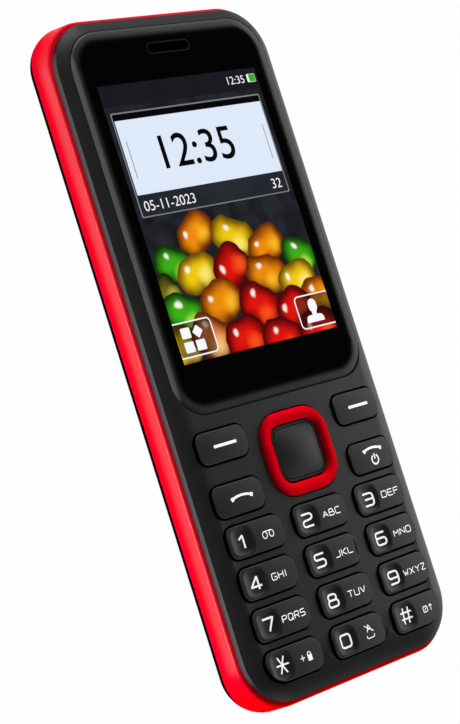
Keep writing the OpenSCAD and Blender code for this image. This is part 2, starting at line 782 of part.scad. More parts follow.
module battery() color("#3b4754") translate([0, battery_y, 0])
    plate(battery_w, battery_l, battery_r, battery_z, battery_t);

module battery_contacts() color(GOLD) {
    finger_w = 1;
    finger_pitch = 3;
    box_at(0, contact_y + contact_l / 2, under_z - contact_h, [contact_w, contact_l, contact_h]);
    for (i = [-1 : 1])
        translate([i * finger_pitch - finger_w / 2, battery_end_y + finger_gap, under_z - contact_h])
            cube([finger_w, contact_y - battery_end_y - finger_gap, finger_w]);
}

// A card holder open at its upper end, whose lower end lies at y
module card_holder(x, y, size, wall, floor_t, card_h) {
    end_wall = 1;
    difference() {
        box_at(x, y + size[1] / 2, under_z - size[2], size);
        box_at(x, y + size[1] / 2 + end_wall, under_z - size[2] + floor_t,
            [size[0] - 2 * wall, size[1], card_h]);
    }
}

module sim_holders() color(STEEL)
    for (s = [-1, 1]) card_holder(s * sim_x, sim_y, [sim_w, sim_l, sim_h], 0.8, 0.3, 0.9);

module memory_card_holder() color(STEEL)
    card_holder(0, memory_y, [memory_w, memory_l, memory_h], 1.5, 0.25, 0.8);

module camera_module() color(DARK) {
    barrel_h = 1.5;
    box_at(camera_x, camera_y, camera_z + barrel_h, [camera_s, camera_s, under_z - camera_z - barrel_h]);
    translate([camera_x, camera_y, camera_z]) cylinder(r = camera_r, h = barrel_h);
}

module camera_window() color(GLOSS)
    translate([camera_x, camera_y, camera_window_drop])
        cylinder(r = camera_window_r - fit_gap / 2, h = camera_window_t);

module usb_socket() color(STEEL) difference() {
    box_at(0, usb_y + usb_l / 2, usb_z - usb_body_h / 2, [usb_w + 2 * usb_wall, usb_l, usb_body_h]);
    box_at(0, usb_y + usb_l / 2 - 1, usb_z - usb_h / 2, [usb_w, usb_l, usb_h]);
}

module antenna() color(RUBBER)
    box_at(0, bottom_y - antenna_l / 2, chassis_z - fit_gap - antenna_h, [antenna_w, antenna_l, antenna_h]);

module shield_can() color(STEEL) difference() {
    box_at(0, can_y, pcb_z - can_h, [can_w, can_l, can_h]);
    box_at(0, can_y, pcb_z - can_h + can_wall, [can_w - 2 * can_wall, can_l - 2 * can_wall, can_h]);
}

module main_chip() color(DARK) box_at(0, can_y, under_z - chip_h, [chip_s, chip_s, chip_h]);

module inner_chassis() color(BLACK) {
    wall_h = chassis_z - battery_z;
    difference() {
        plate(chassis_w, chassis_l, frame_in_r - fit_gap, chassis_z, chassis_t);
        box_at(0, can_y, chassis_z - 1, [can_w + 2 * inner_gap, can_l + 2 * inner_gap, chassis_t + 2]);
        translate([-sim_x - sim_w / 2 - inner_gap, contact_y - inner_gap, chassis_z - 1])
            cube([2 * sim_x + sim_w + 2 * inner_gap, slot_top_y - contact_y + inner_gap, chassis_t + 2]);
        box_at(camera_x, camera_y, chassis_z - 1,
            [camera_s + inner_gap, camera_s + inner_gap, chassis_t + 2]);
        box_at(0, -chassis_l / 2, chassis_z - 1, [
            usb_w + 2 * usb_wall + 2 * inner_gap,
            chassis_l + 2 * (usb_y + usb_l + inner_gap),
            chassis_t + 2
        ]);
        translate([mic_x, mic_y, chassis_z - 1]) cylinder(r = mic_r + inner_gap, h = chassis_t + 2);
        for (b = BOSSES)
            translate([b[0], b[1], chassis_z - 1]) cylinder(r = screw_hole_r, h = chassis_t + 2);
    }
    difference() {
        box_at(0, battery_y, battery_z, [bay_w + 2 * bay_wall, bay_l + 2 * bay_wall, wall_h]);
        box_at(0, battery_y, battery_z - 1, [bay_w, bay_l, wall_h + 2]);
        box_at(0, battery_end_y, battery_z - 1,
            [contact_w + 2 * inner_gap, 4 * (bay_wall + inner_gap), wall_h + 2]);
    }
}

module case_screws() color(STEEL) for (b = BOSSES) translate([b[0], b[1], 0]) {
    tip_gap = 1;
    cross_l = 1.4;
    cross_w = 0.3;
    cross_h = 0.4;
    translate([0, 0, chassis_z - screw_head_t]) difference() {
        cylinder(r = screw_head_r, h = screw_head_t);
        box_at(0, 0, -1, [cross_l, cross_w, cross_h + 1]);
        box_at(0, 0, -1, [cross_w, cross_l, cross_h + 1]);
    }
    translate([0, 0, chassis_z]) cylinder(r = screw_r, h = b[2] - chassis_z - tip_gap);
}

front_housing();
mid_frame();
rear_cover();
display_window();
earpiece_mesh();
for (k = KEYS) key_piece(k);
nav_ring();
nav_carrier();
ok_key();
keypad_mat();
dome_sheet();
circuit_board();
display_module();
display_gasket();
display_flex();
earpiece_speaker();
loudspeaker();
microphone();
vibration_motor();
vibration_weight();
battery();
battery_contacts();
sim_holders();
memory_card_holder();
camera_module();
camera_window();
usb_socket();
antenna();
shield_can();
main_chip();
inner_chassis();
case_screws();
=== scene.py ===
import math

import bmesh
import bpy
from mathutils import Matrix, Vector


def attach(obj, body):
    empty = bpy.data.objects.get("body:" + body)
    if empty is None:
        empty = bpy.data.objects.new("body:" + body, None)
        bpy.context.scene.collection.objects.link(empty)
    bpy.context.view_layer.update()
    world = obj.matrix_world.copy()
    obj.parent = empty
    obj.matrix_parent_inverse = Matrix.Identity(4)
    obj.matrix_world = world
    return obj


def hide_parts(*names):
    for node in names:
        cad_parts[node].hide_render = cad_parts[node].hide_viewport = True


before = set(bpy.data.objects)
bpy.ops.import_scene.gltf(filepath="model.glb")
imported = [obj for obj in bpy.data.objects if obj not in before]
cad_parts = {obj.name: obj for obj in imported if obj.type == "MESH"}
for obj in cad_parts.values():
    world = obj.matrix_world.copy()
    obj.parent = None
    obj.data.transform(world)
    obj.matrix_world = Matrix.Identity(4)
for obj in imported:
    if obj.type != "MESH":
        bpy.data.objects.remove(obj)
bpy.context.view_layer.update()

# Lengths in this script are millimetres, and MM turns them into Blender's metres
MM = 0.001

# Casing
BODY_W = 50.4
BODY_L = 120.61
BODY_R = 9.5
LOW_R = 7.5
LEDGE_W = 0.85
LEDGE_Z = 8.5
SEAM_Z = 4.0
SEAM_STEP = 0.05
BACK_R = 5.5
SEAM_TURN = math.degrees(math.asin((BACK_R - SEAM_Z) / BACK_R))
SEAM_INSET = BACK_R * (1 - math.cos(math.radians(SEAM_TURN)))
FRAME_WALL = 1.5
FRAME_EDGE = 0.45
COVER_T = 1.0
LIP_T = 0.6
LIP_H = 0.8
FIT_GAP = 0.1
FRONT_W = BODY_W - 2 * LEDGE_W
FRONT_L = BODY_L - 2 * LEDGE_W
FRONT_R = BODY_R - LEDGE_W
FACE_Z = 11.45
FACE_T = 1.65
ARC_X = 21.8
ARC_FALL = 0.45
ARC_PITCH = 1.5
CROWN_W = 5.5
CROWN_DROP = 1.85
FRONT_WALL = 1.3
PAD_TOP = -12.2
PAD_R = 7.35
SHARP_EDGE = 0.09
FLAT_BORDER = 0.04

# Window and display
WINDOW_W = 44.5
WINDOW_L = 67.6
WINDOW_TOP = 57.455
WINDOW_END = WINDOW_TOP - WINDOW_L
WINDOW_Y = (WINDOW_TOP + WINDOW_END) / 2
WINDOW_TOP_R = 7.0
WINDOW_END_R = 6.0
WINDOW_T = 1.0
WINDOW_GAP = 0.1
WINDOW_ROLL_W = 1.5
WINDOW_ROLL_H = 0.3
WINDOW_EDGE = 0.06
GLASS_Z = 11.0
ACTIVE_W = 36.72
ACTIVE_L = 48.96
ACTIVE_Y = 23.305
LAYER = 0.012
EAR_Y = 53.455
EAR_W = 9.6
EAR_H = 1.8

# Keys
KEY_W = 12.3
SIDE_KEY_W = 12.25
KEY_H = 5.45
KEY_R = 1.7
KEY_BIG_R = 3.9
KEY_EDGE = 0.13
KEY_TOP = 11.85
KEY_FOOT = 9.25
KEY_GAP = 0.35
# How much narrower the gap at a number key's right side is
RIGHT_GAP_CUT = 0.17
CAP_DEPTH = 1.3
COLUMN = 15.175
ROW = 7.13
ROW_Y = -31.87
FUNC_W = 10.8
FUNC_H = 5.4
FUNC_X = 16.15
SOFT_Y = -15.645
CALL_Y = -24.795
SCOOP_LEFT = -5.35
SCOOP_RIGHT = -0.8
SCOOP_HALF = 2.35
SCOOP_DEPTH = 0.55
PILLOW_ALONG = 0.28
PILLOW_ACROSS = 0.18
PILLOW_RISE = 0.23

# Printed signs
DIGIT_X = -2.85
DIGIT_Y = -1.22
DIGIT_W = 2.2
DIGIT_H = 2.15
DIGIT_LINE = 0.33
STAR_Y = -1.35
STAR_W = 2.5
STAR_H = 2.8
STAR_LINE = 0.28
WORD_X = 2.4
WORD_Y = -0.1
WORD_H = 1.08
WORD_LINE = 0.165
SIGN_R = 0.3
FUNC_SIGN_X = 0.4
INK_T = 0.02
INK_STEP = 0.006

# Navigation
NAV_Y = -20.22
NAV_W = 15.6
NAV_H = 14.6
NAV_R = 4.8
NAV_BAND = 2.15
NAV_EDGE = 1.0
NAV_TOP = 12.3
NAV_FOOT = 8.9
NAV_GAP = 0.25
OK_W = 10.8
OK_H = 9.8
OK_R = 2.4
OK_EDGE = 0.14
OK_TOP = 12.1
OK_DOME = 0.6
OK_DOME_X = 4.8
OK_DOME_Y = 4.3
OK_FOOT = 9.35
# The narrow rim and the fine groove round the dome: inward and up
OK_GROOVE = [(0.22, 0), (0.06, -0.15), (0.08, 0), (0.06, 0.15)]

# Back and ends
CAMERA_X = 10.0
CAMERA_Y = 45.4
CAMERA_R = 3.2
SPEAKER_X = -10.0
SPEAKER_Y = 46.1
SLIT_W = 8
SLIT_H = 0.9
SLIT_PITCH = 1.8
USB_W = 7.2
USB_H = 2.0
USB_Z = 5.15
MIC_X = -14.0
MIC_R = 0.5

# The studio: how far the floor lies below the phone, and the photograph's camera
FLOOR_DROP = 16.0
VIEW_PLACE = (-237.776, -24.251, 268.635)
VIEW_AHEAD = (0.66348, 0.06278, -0.74555)
VIEW_UP = (0.18577, 0.95145, 0.24544)
VIEW_LENS = 101.52

# Number keys: node name, column, row, digit and what is printed beside it
NUMBER_KEYS = [
    ("key_1", -1, 0, "1", "voicemail"), ("key_2", 0, 0, "2", "ABC"), ("key_3", 1, 0, "3", "DEF"),
    ("key_4", -1, 1, "4", "GHI"), ("key_5", 0, 1, "5", "JKL"), ("key_6", 1, 1, "6", "MNO"),
    ("key_7", -1, 2, "7", "PQRS"), ("key_8", 0, 2, "8", "TUV"), ("key_9", 1, 2, "9", "WXYZ"),
    ("key_star", -1, 3, "*", "lock"), ("key_0", 0, 3, "0", "space"), ("key_hash", 1, 3, "#", "shift"),
]
FUNCTION_KEYS = [
    ("soft_key_left", -FUNC_X, SOFT_Y), ("soft_key_right", FUNC_X, SOFT_Y),
    ("call_key", -FUNC_X, CALL_Y), ("end_key", FUNC_X, CALL_Y),
]

# Strokes of the printed signs in a box of one by one, from lower left to upper right
STROKES = {
    "0": [[(0.5, 0), (0, 0), (0, 1), (1, 1), (1, 0), (0.5, 0)]],
    "1": [[(0.2, 0.74), (0.6, 1), (0.6, 0)]],
    "2": [[(0, 1), (1, 1), (1, 0.54), (0, 0.46), (0, 0), (1, 0)]],
    "3": [[(0, 1), (1, 1), (1, 0), (0, 0)], [(0.12, 0.52), (0.96, 0.52)]],
    "4": [[(0.72, 0), (0.72, 1), (0, 0.26), (1, 0.26)]],
    "5": [[(1, 1), (0, 1), (0, 0.55), (1, 0.55), (1, 0), (0, 0)]],
    "6": [[(0.95, 1), (0, 1), (0, 0), (1, 0), (1, 0.55), (0.04, 0.55)]],
    "7": [[(0, 1), (1, 1), (0.45, 0)]],
    "8": [
        [(0.5, 0.53), (0.1, 0.53), (0.1, 1), (0.9, 1), (0.9, 0.53), (0.5, 0.53)],
        [(0.5, 0.53), (0, 0.53), (0, 0), (1, 0), (1, 0.53), (0.5, 0.53)],
    ],
    "9": [[(0.96, 0.45), (0, 0.45), (0, 1), (1, 1), (1, 0), (0.05, 0)]],
    "*": [[(0, 0.5), (1, 0.5)], [(0.24, 0), (0.76, 1)], [(0.24, 1), (0.76, 0)]],
    "#": [[(0.2, 0), (0.34, 1)], [(0.66, 0), (0.8, 1)], [(0, 0.3), (1, 0.3)], [(0, 0.7), (1, 0.7)]],
    "A": [[(0, 0), (0.5, 1), (1, 0)], [(0.2, 0.32), (0.8, 0.32)]],
    "B": [[(0, 0), (0, 1), (0.88, 1), (0.88, 0.53), (0, 0.53)], [(0.5, 0.53), (1, 0.53), (1, 0), (0, 0)]],
    "C": [[(1, 1), (0, 1), (0, 0), (1, 0)]],
    "D": [[(0, 0), (0, 1), (1, 1), (1, 0), (0, 0)]],
    "E": [[(1, 1), (0, 1), (0, 0), (1, 0)], [(0, 0.52), (0.85, 0.52)]],
    "F": [[(1, 1), (0, 1), (0, 0)], [(0, 0.52), (0.85, 0.52)]],
    "G": [[(1, 1), (0, 1), (0, 0), (1, 0), (1, 0.48), (0.5, 0.48)]],
    "H": [[(0, 0), (0, 1)], [(1, 0), (1, 1)], [(0, 0.52), (1, 0.52)]],
    "I": [[(0.15, 0), (0.15, 1)]],
    "J": [[(0.95, 1), (0.95, 0), (0, 0)]],
    "K": [[(0, 0), (0, 1)], [(1, 1), (0.1, 0.5), (1, 0)]],
    "L": [[(0, 1), (0, 0), (1, 0)]],
    "M": [[(0, 0), (0, 1), (0.5, 0.35), (1, 1), (1, 0)]],
    "N": [[(0, 0), (0, 1), (1, 0), (1, 1)]],
    "O": [[(0.5, 0), (0, 0), (0, 1), (1, 1), (1, 0), (0.5, 0)]],
    "P": [[(0, 0), (0, 1), (1, 1), (1, 0.45), (0, 0.45)]],
    "Q": [[(0.5, 0), (0, 0), (0, 1), (1, 1), (1, 0), (0.5, 0)], [(0.62, 0.34), (1.05, -0.1)]],
    "R": [[(0, 0), (0, 1), (1, 1), (1, 0.45), (0, 0.45)], [(0.5, 0.45), (1, 0)]],
    "S": [[(1, 1), (0, 1), (0, 0.52), (1, 0.52), (1, 0), (0, 0)]],
    "T": [[(0, 1), (1, 1)], [(0.5, 1), (0.5, 0)]],
    "U": [[(0, 1), (0, 0), (1, 0), (1, 1)]],
    "V": [[(0, 1), (0.5, 0), (1, 1)]],
    "W": [[(0, 1), (0.25, 0), (0.5, 0.7), (0.75, 0), (1, 1)]],
    "X": [[(0, 0), (1, 1)], [(0, 1), (1, 0)]],
    "Y": [[(0, 1), (0.5, 0.5), (1, 1)], [(0.5, 0.5), (0.5, 0)]],
    "Z": [[(0, 1), (1, 1), (0, 0), (1, 0)]],
}


# Modelling helpers

def pick(piece, test):
    """Selects, in edit mode, the vertices whose place in millimetres passes the test."""
    mesh = bmesh.from_edit_mesh(piece.data)
    bpy.ops.mesh.select_mode(type="VERT")
    bpy.ops.mesh.select_all(action="DESELECT")
    for vert in mesh.verts:
        vert.select = test(vert.co / MM)
    mesh.select_flush_mode()
    bmesh.update_edit_mesh(piece.data)


def pick_faces(piece, test):
    """Selects, in edit mode, the faces whose middle in millimetres and normal pass the test."""
    bpy.ops.mesh.select_mode(type="FACE")
    bpy.ops.mesh.select_all(action="DESELECT")
    mesh = bmesh.from_edit_mesh(piece.data)
    for face in mesh.faces:
        face.select = test(face.calc_center_median() / MM, face.normal)
    bmesh.update_edit_mesh(piece.data)


def outline(name, w, l, radii, x, y, z, segments=10):
    """Adds a flat face, selected in edit mode, with corner radii from the upper right anticlockwise."""
    bpy.ops.object.select_all(action="DESELECT")
    bpy.ops.mesh.primitive_plane_add(size=1)
    piece = bpy.context.object
    piece.name = name
    bpy.ops.object.mode_set(mode="EDIT")
    bpy.ops.mesh.select_all(action="SELECT")
    bpy.ops.transform.resize(value=(w * MM, l * MM, 1))
    corners = [(1, 1), (-1, 1), (-1, -1), (1, -1)]
    for (side, end), radius in zip(corners, radii):
        pick(piece, lambda p: abs(p.x - side * w / 2) < 1e-3 and abs(p.y - end * l / 2) < 1e-3)
        bpy.ops.mesh.bevel(
            offset=radius * MM, offset_type="OFFSET", segments=segments, profile=0.5, affect="VERTICES"
        )
    bpy.ops.mesh.select_mode(type="FACE")
    bpy.ops.mesh.select_all(action="SELECT")
    bpy.ops.transform.translate(value=(x * MM, y * MM, z * MM))
    return piece


def raise_face(height):
    """Pulls the selected face straight up or down."""
    bpy.ops.mesh.extrude_region_move(TRANSFORM_OT_translate={"value": (0, 0, height * MM)})


def round_over(inward, rise, steps, start=0, end=90):
    """Carries the selected face over a quarter of an ellipse, inwards and along its normal."""
    turns = [math.radians(start + (end - start) * i / steps) for i in range(steps + 1)]
    for a, b in zip(turns, turns[1:]):
        bpy.ops.mesh.inset(
            thickness=inward * (math.cos(a) - math.cos(b)) * MM, depth=rise * (math.sin(b) - math.sin(a)) * MM
        )


def crown_over(steps):
    """Carries the selected face up the curve along the edge of the front face."""
    radius = (CROWN_W ** 2 + CROWN_DROP ** 2) / (2 * CROWN_DROP)
    rise = lambda inset: math.sqrt(radius ** 2 - (CROWN_W - inset) ** 2)
    stations = [CROWN_W * (i / steps) ** 0.8 for i in range(steps + 1)]
    for a, b in zip(stations, stations[1:]):
        bpy.ops.mesh.inset(thickness=(b - a) * MM, depth=(rise(b) - rise(a)) * MM)


def hold_flat():
    """Adds a narrow flat border, so that the middle of a face keeps a straight normal."""
    bpy.ops.mesh.inset(thickness=FLAT_BORDER * MM, depth=0)


def make_active(piece):
    """Selects one piece alone."""
    bpy.ops.object.select_all(action="DESELECT")
    piece.select_set(True)
    bpy.context.view_layer.objects.active = piece


def object_mode(piece):
    """Leaves edit mode, with one piece selected alone."""
    bpy.ops.object.mode_set(mode="OBJECT")
    make_active(piece)


def block(name, w, l, radii, x, y, low, high, segments=10):
    """A straight block with round corners, left in object mode."""
    piece = outline(name, w, l, radii, x, y, low, segments)
    raise_face(high - low)
    object_mode(piece)
    return piece


def same(radius):
    return (radius, radius, radius, radius)


def apply_modifier(piece, kind, **settings):
    object_mode(piece)
    modifier = piece.modifiers.new(kind.title(), kind)
    for key, value in settings.items():
        setattr(modifier, key, value)
    bpy.ops.object.modifier_apply(modifier=modifier.name)


def soften_edges(piece, width, angle):
    """Rounds a piece's edges that are sharper than an angle."""
    apply_modifier(
        piece, "BEVEL", width=width * MM, segments=2, limit_method="ANGLE", angle_limit=math.radians(angle)
    )


def join(pieces):
    """Makes several pieces one."""
    make_active(pieces[0])
    for piece in pieces:
        piece.select_set(True)
    if len(pieces) > 1:
        bpy.ops.object.join()
    return bpy.context.object


def cut(piece, *tools):
    """Takes the tools' volume out of the piece and removes the tools."""
    tool = join(tools)
    apply_modifier(piece, "BOOLEAN", operation="DIFFERENCE", solver="EXACT", object=tool)
    bpy.data.objects.remove(tool)


def move(piece, x, y, z):
    """Moves a piece in its mesh."""
    make_active(piece)
    bpy.ops.object.mode_set(mode="EDIT")
    bpy.ops.mesh.select_all(action="SELECT")
    bpy.ops.transform.translate(value=(x * MM, y * MM, z * MM))
    object_mode(piece)


def copy_piece(piece, name, x, y):
    """A copy with its own mesh, moved in its mesh."""
    twin = piece.copy()
    twin.data = piece.data.copy()
    twin.name = name
    bpy.context.collection.objects.link(twin)
    move(twin, x, y, 0)
    return twin


def dress(piece, body, slot, material, *nodes, angle=32, flat=False):
    """Finishes a piece: its shading, its material, the body it rides on and the nodes it stands for."""
    object_mode(piece)
    bpy.ops.object.shade_smooth_by_angle(angle=math.radians(angle))
    if flat:
        apply_modifier(piece, "WEIGHTED_NORMAL", mode="FACE_AREA", weight=100, keep_sharp=True)
    piece.data.materials.clear()
    piece.data.materials.append(material)
    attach(piece, body)
    if nodes:
        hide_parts(*nodes)


def grid_top(piece, top, pitch, half_w, half_l):
    """Divides the flat top of a piece at the origin into a grid."""
    bpy.ops.object.mode_set(mode="EDIT")
    lines = [(i * pitch, (1, 0, 0)) for i in range(-int(half_w / pitch), int(half_w / pitch) + 1)]
    lines += [(i * pitch, (0, 1, 0)) for i in range(-int(half_l / pitch), int(half_l / pitch) + 1)]
    for place, normal in lines:
        pick_faces(piece, lambda p, n: n.z > 0.99 and p.z > top - 1e-3)
        bpy.ops.mesh.bisect(plane_co=Vector(normal) * place * MM, plane_no=normal)
    object_mode(piece)


def press_in(piece, top, depth):
    """Lowers the points of a piece's top by the depth that a function of their place gives."""
    for vert in piece.data.vertices:
        if vert.co.z > (top - CAP_DEPTH) * MM:
            vert.co.z -= depth(vert.co.x / MM, vert.co.y / MM) * MM


# Materials

# A mix of two colours takes its share at 0 and the colours at 6 and 7, and gives the result at 2
COLOUR = {"data_type": "RGBA"}
# A change with a soft start and end takes a value at 0, its range at 1 and 2, and what it gives at 3 and 4
SOFT = {"interpolation_type": "SMOOTHSTEP"}
# Sizes of the slow drift of colour and roughness, and height of a moulded grain
PATCH = 9
GRAIN_H = 0.02


def linear(colour):
    """An sRGB hex colour as linear red, green, blue and one."""
    parts = [int(colour[i:i + 2], 16) / 255 for i in (1, 3, 5)]
    return [c / 12.92 if c <= 0.04045 else ((c + 0.055) / 1.055) ** 2.4 for c in parts] + [1]


def feed(node, inputs):
    """Gives a node's inputs a number, a colour or the socket that feeds them."""
    for key, value in inputs.items():
        if isinstance(value, bpy.types.NodeSocket):
            node.id_data.links.new(value, node.inputs[key])
        else:
            node.inputs[key].default_value = value


def add_node(tree, kind, inputs=(), out=0, **settings):
    """Adds a node with its inputs and settings, and gives one of its outputs."""
    node = tree.nodes.new("ShaderNode" + kind)
    for key, value in settings.items():
        setattr(node, key, value)
    feed(node, dict(inputs))
    return node.outputs[out]


def new_material(name, **inputs):
    """A material with plain values on its shader, then its tree, its shader and its object coordinates."""
    material = bpy.data.materials.new(name)
    material.use_nodes = True
    tree = material.node_tree
    shader = tree.nodes["Principled BSDF"]
    for key, value in inputs.items():
        feed(shader, {key.replace("_", " ").title().replace("Ior", "IOR"): value})
    return material, tree, shader, add_node(tree, "TexCoord", out="Object")


def mottle(tree, shader, place, size, low, high, rough_low, rough_high):
    """Two close colours and two roughnesses that drift over patches of the given size."""
    noise = add_node(tree, "TexNoise", {"Vector": place, "Scale": 1 / (size * MM), "Detail": 3})
    colour = add_node(tree, "Mix", {0: noise, 6: linear(low), 7: linear(high)}, 2, **COLOUR)
    rough = add_node(tree, "MapRange", {"Value": noise, "To Min": rough_low, "To Max": rough_high})
    feed(shader, {"Base Color": colour, "Roughness": rough})


def grain(tree, shader, place, size, height, strength):
    """A fine moulded grain as bump."""
    noise = add_node(tree, "TexNoise", {"Vector": place, "Scale": 1 / (size * MM), "Detail": 2})
    bump = add_node(tree, "Bump", {"Height": noise, "Strength": strength, "Distance": height * MM})
    feed(shader, {"Normal": bump})


def moulded(name, low, high, rough_low, rough_high, grain_size, grain_strength, **inputs):
    """A moulded or painted surface: drifting colour and roughness under a fine grain."""
    material, tree, shader, place = new_material(name, **inputs)
    mottle(tree, shader, place, PATCH, low, high, rough_low, rough_high)
    grain(tree, shader, place, grain_size, GRAIN_H, grain_strength)
    return material


# Spark-textured ABS: dark grey, satin, with a grain of about 0.1 mm drawn at 0.3 mm so that it shows
satin_abs = moulded("satin_abs", "#161617", "#1a1a1b", 0.42, 0.48, 0.3, 0.1)
# Lacquered polycarbonate key caps: a little darker and duller than the casing
key_lacquer = moulded("key_lacquer", "#151516", "#19191a", 0.46, 0.52, 0.3, 0.05)
# Painted polycarbonate under thin lacquer: deep red, with a faint sheen
red_lacquer = moulded("red_lacquer", "#f20022", "#fa042a", 0.3, 0.36, 0.6, 0.03)
# Dyed moulded plastic of the ring: red, almost without gloss, with painted shade added on its left-facing
# slopes
red_ring = moulded("red_ring", "#f60016", "#fc001a", 0.5, 0.56, 0.4, 0.04, ior=1.02)
# Acrylic printed black from behind: mirror gloss over a black depth, used for the camera window
black_acrylic = moulded("black_acrylic", "#020202", "#040405", 0.05, 0.07, 2, 0.002, ior=1.49)
# Paint in the groove round the earpiece slot: near black, dull
slot_paint = moulded("slot_paint", "#0d0d0e", "#111112", 0.5, 0.6, 0.3, 0.05, ior=1.2)
# Textured ABS of the rear cover: matt black with a coarser grain
cover_abs = moulded("cover_abs", "#070707", "#0b0b0c", 0.55, 0.65, 0.45, 0.3)
# White ink: dry and slightly uneven, with a faint painted glow of its own that makes it look brighter
white_ink = moulded("white_ink", "#f4f4f2", "#fbfbfa", 0.45, 0.55, 0.2, 0.05, emission_strength=0.45)


def reopen(material):
    """A material's tree, its shader and the socket that colours it so far."""
    tree = material.node_tree
    shader = tree.nodes["Principled BSDF"]
    return tree, shader, shader.inputs["Base Color"].links[0].from_socket


def place_along(tree, axis):
    """A point's place along one of the phone's axes."""
    return add_node(tree, "SeparateXYZ", {0: add_node(tree, "TexCoord", out="Object")}, axis)


def paint_light_by_facing(material, side, near, far, tint, both=False):
    """Paints light or shade into a material: its colour turns towards a tint where its surface faces one
    side, or that side and its opposite.
    """
    tree, shader, base = reopen(material)
    normal = add_node(tree, "TexCoord", out="Normal")
    facing = add_node(tree, "VectorMath", {0: normal, 1: side}, "Value", operation="DOT_PRODUCT")
    if both:
        facing = add_node(tree, "Math", {0: facing}, operation="ABSOLUTE")
    share = add_node(tree, "MapRange", {0: facing, 1: near, 2: far}, **SOFT)
    colour = add_node(tree, "Mix", {0: share, 6: base, 7: linear(tint)}, 2, **COLOUR)
    feed(shader, {"Base Color": colour})


def vary_lacquer():
    """Red lacquer is thicker towards the ledge, thin at the ends and a warmer red round the lower one."""
    tree, shader, base = reopen(red_lacquer)
    y = place_along(tree, "Y")
    z = place_along(tree, "Z")
    thick = add_node(tree, "MapRange", {0: z, 1: 4.8 * MM, 2: 7.6 * MM, 4: 0.6}, **SOFT)
    low_end = add_node(tree, "MapRange", {0: y, 1: -53.8 * MM, 2: -50.8 * MM}, **SOFT)
    top_end = add_node(tree, "MapRange", {0: y, 1: 57.5 * MM, 2: 51.5 * MM, 3: 0.2}, **SOFT)
    between = add_node(tree, "Math", {0: low_end, 1: top_end}, operation="MULTIPLY")
    sheen = add_node(tree, "Math", {0: thick, 1: between, 2: 1.0}, operation="MULTIPLY_ADD")
    warm = add_node(tree, "MapRange", {0: y, 1: -52 * MM, 2: -58 * MM, 4: 0.85}, **SOFT)
    colour = add_node(tree, "Mix", {0: warm, 6: base, 7: linear("#fb0004")}, 2, **COLOUR)
    feed(shader, {"Base Color": colour, "IOR": sheen})


def dull_ends_and_paint_wall_light():
    """The casing is duller at the phone's ends, and its side walls get a painted reflection as a paler grey;
    the cover is duller up its edge.
    """
    tree, shader = reopen(satin_abs)[:2]
    out = add_node(tree, "Math", {0: place_along(tree, "Y")}, operation="ABSOLUTE")
    sheen = add_node(tree, "MapRange", {0: out, 1: 50 * MM, 2: 56 * MM, 3: 1.5, 4: 1.26}, **SOFT)
    feed(shader, {"IOR": sheen})
    # Painted reflection: casing walls facing left and right turn paler grey
    paint_light_by_facing(satin_abs, (1, 0, 0), 0.84, 0.98, "#4a4a4b", True)
    tree, shader = reopen(cover_abs)[:2]
    z = place_along(tree, "Z")
    sheen = add_node(tree, "MapRange", {0: z, 1: 0.3 * MM, 2: 1.4 * MM, 3: 1.35, 4: 1.0}, **SOFT)
    feed(shader, {"IOR": sheen})


def paint_shade_on_key_walls():
    """Key caps keep their lacquer on top, and their straight sides get painted shade: near black and less
    glossy.
    """
    tree, shader, base = reopen(key_lacquer)
    up = add_node(tree, "SeparateXYZ", {0: add_node(tree, "TexCoord", out="Normal")}, "Z")
    top = add_node(tree, "MapRange", {0: up, 1: 0.35, 2: 0.75}, **SOFT)
    # Painted shade: the sides of the caps turn near black
    colour = add_node(tree, "Mix", {0: top, 6: linear("#020202"), 7: base}, 2, **COLOUR)
    sheen = add_node(tree, "Math", {0: top, 1: 0.5, 2: 1.0}, operation="MULTIPLY_ADD")
    feed(shader, {"Base Color": colour, "IOR": sheen})


def reach_out(tree, place, core):
    """How far a place lies out of a box round the origin, whose half sides are given."""
    quarter = add_node(tree, "VectorMath", {0: place}, operation="ABSOLUTE")
    beyond = add_node(tree, "VectorMath", {0: quarter, 1: core}, operation="SUBTRACT")
    outside = add_node(tree, "VectorMath", {0: beyond, 1: (0, 0, 0)}, operation="MAXIMUM")
    return add_node(tree, "VectorMath", {0: outside}, "Value", operation="LENGTH")


def acrylic_with_painted_rim_light():
    """The window: black mirror gloss whose rolled edge turns softly rougher and takes a painted grey
    reflection, paler on the left as a painted highlight.
    """
    material, tree, shader, place = new_material("acrylic_with_painted_rim_light", ior=1.49)
    radius = (WINDOW_TOP_R + WINDOW_END_R) / 2
    middle = add_node(tree, "VectorMath", {0: place, 1: (0, WINDOW_Y * MM, 0)}, operation="SUBTRACT")
    flat = add_node(tree, "VectorMath", {0: middle, 1: (1, 1, 0)}, operation="MULTIPLY")
    core = ((WINDOW_W / 2 - radius) * MM, (WINDOW_L / 2 - radius) * MM, 0)
    reach = reach_out(tree, flat, core)
    rim = add_node(tree, "MapRange", {0: reach, 1: (radius - 2.4) * MM, 2: (radius - 0.5) * MM}, **SOFT)
    x = place_along(tree, "X")
    side = WINDOW_W / 2
    # Painted highlight: the rolled edge is a paler grey on the left side
    left = add_node(tree, "MapRange", {0: x, 1: (1.2 - side) * MM, 2: (0.6 - side) * MM}, **SOFT)
    edge = add_node(tree, "Mix", {0: left, 6: linear("#1c1c1d"), 7: linear("#5c5c5e")}, 2, **COLOUR)
    # Painted reflection: the rolled edge turns from black to the grey above
    colour = add_node(tree, "Mix", {0: rim, 6: linear("#010101"), 7: edge}, 2, **COLOUR)
    rough = add_node(tree, "MapRange", {"Value": rim, "To Min": 0.05, "To Max": 0.45})
    feed(shader, {"Base Color": colour, "Roughness": rough})
    return material


# Casing

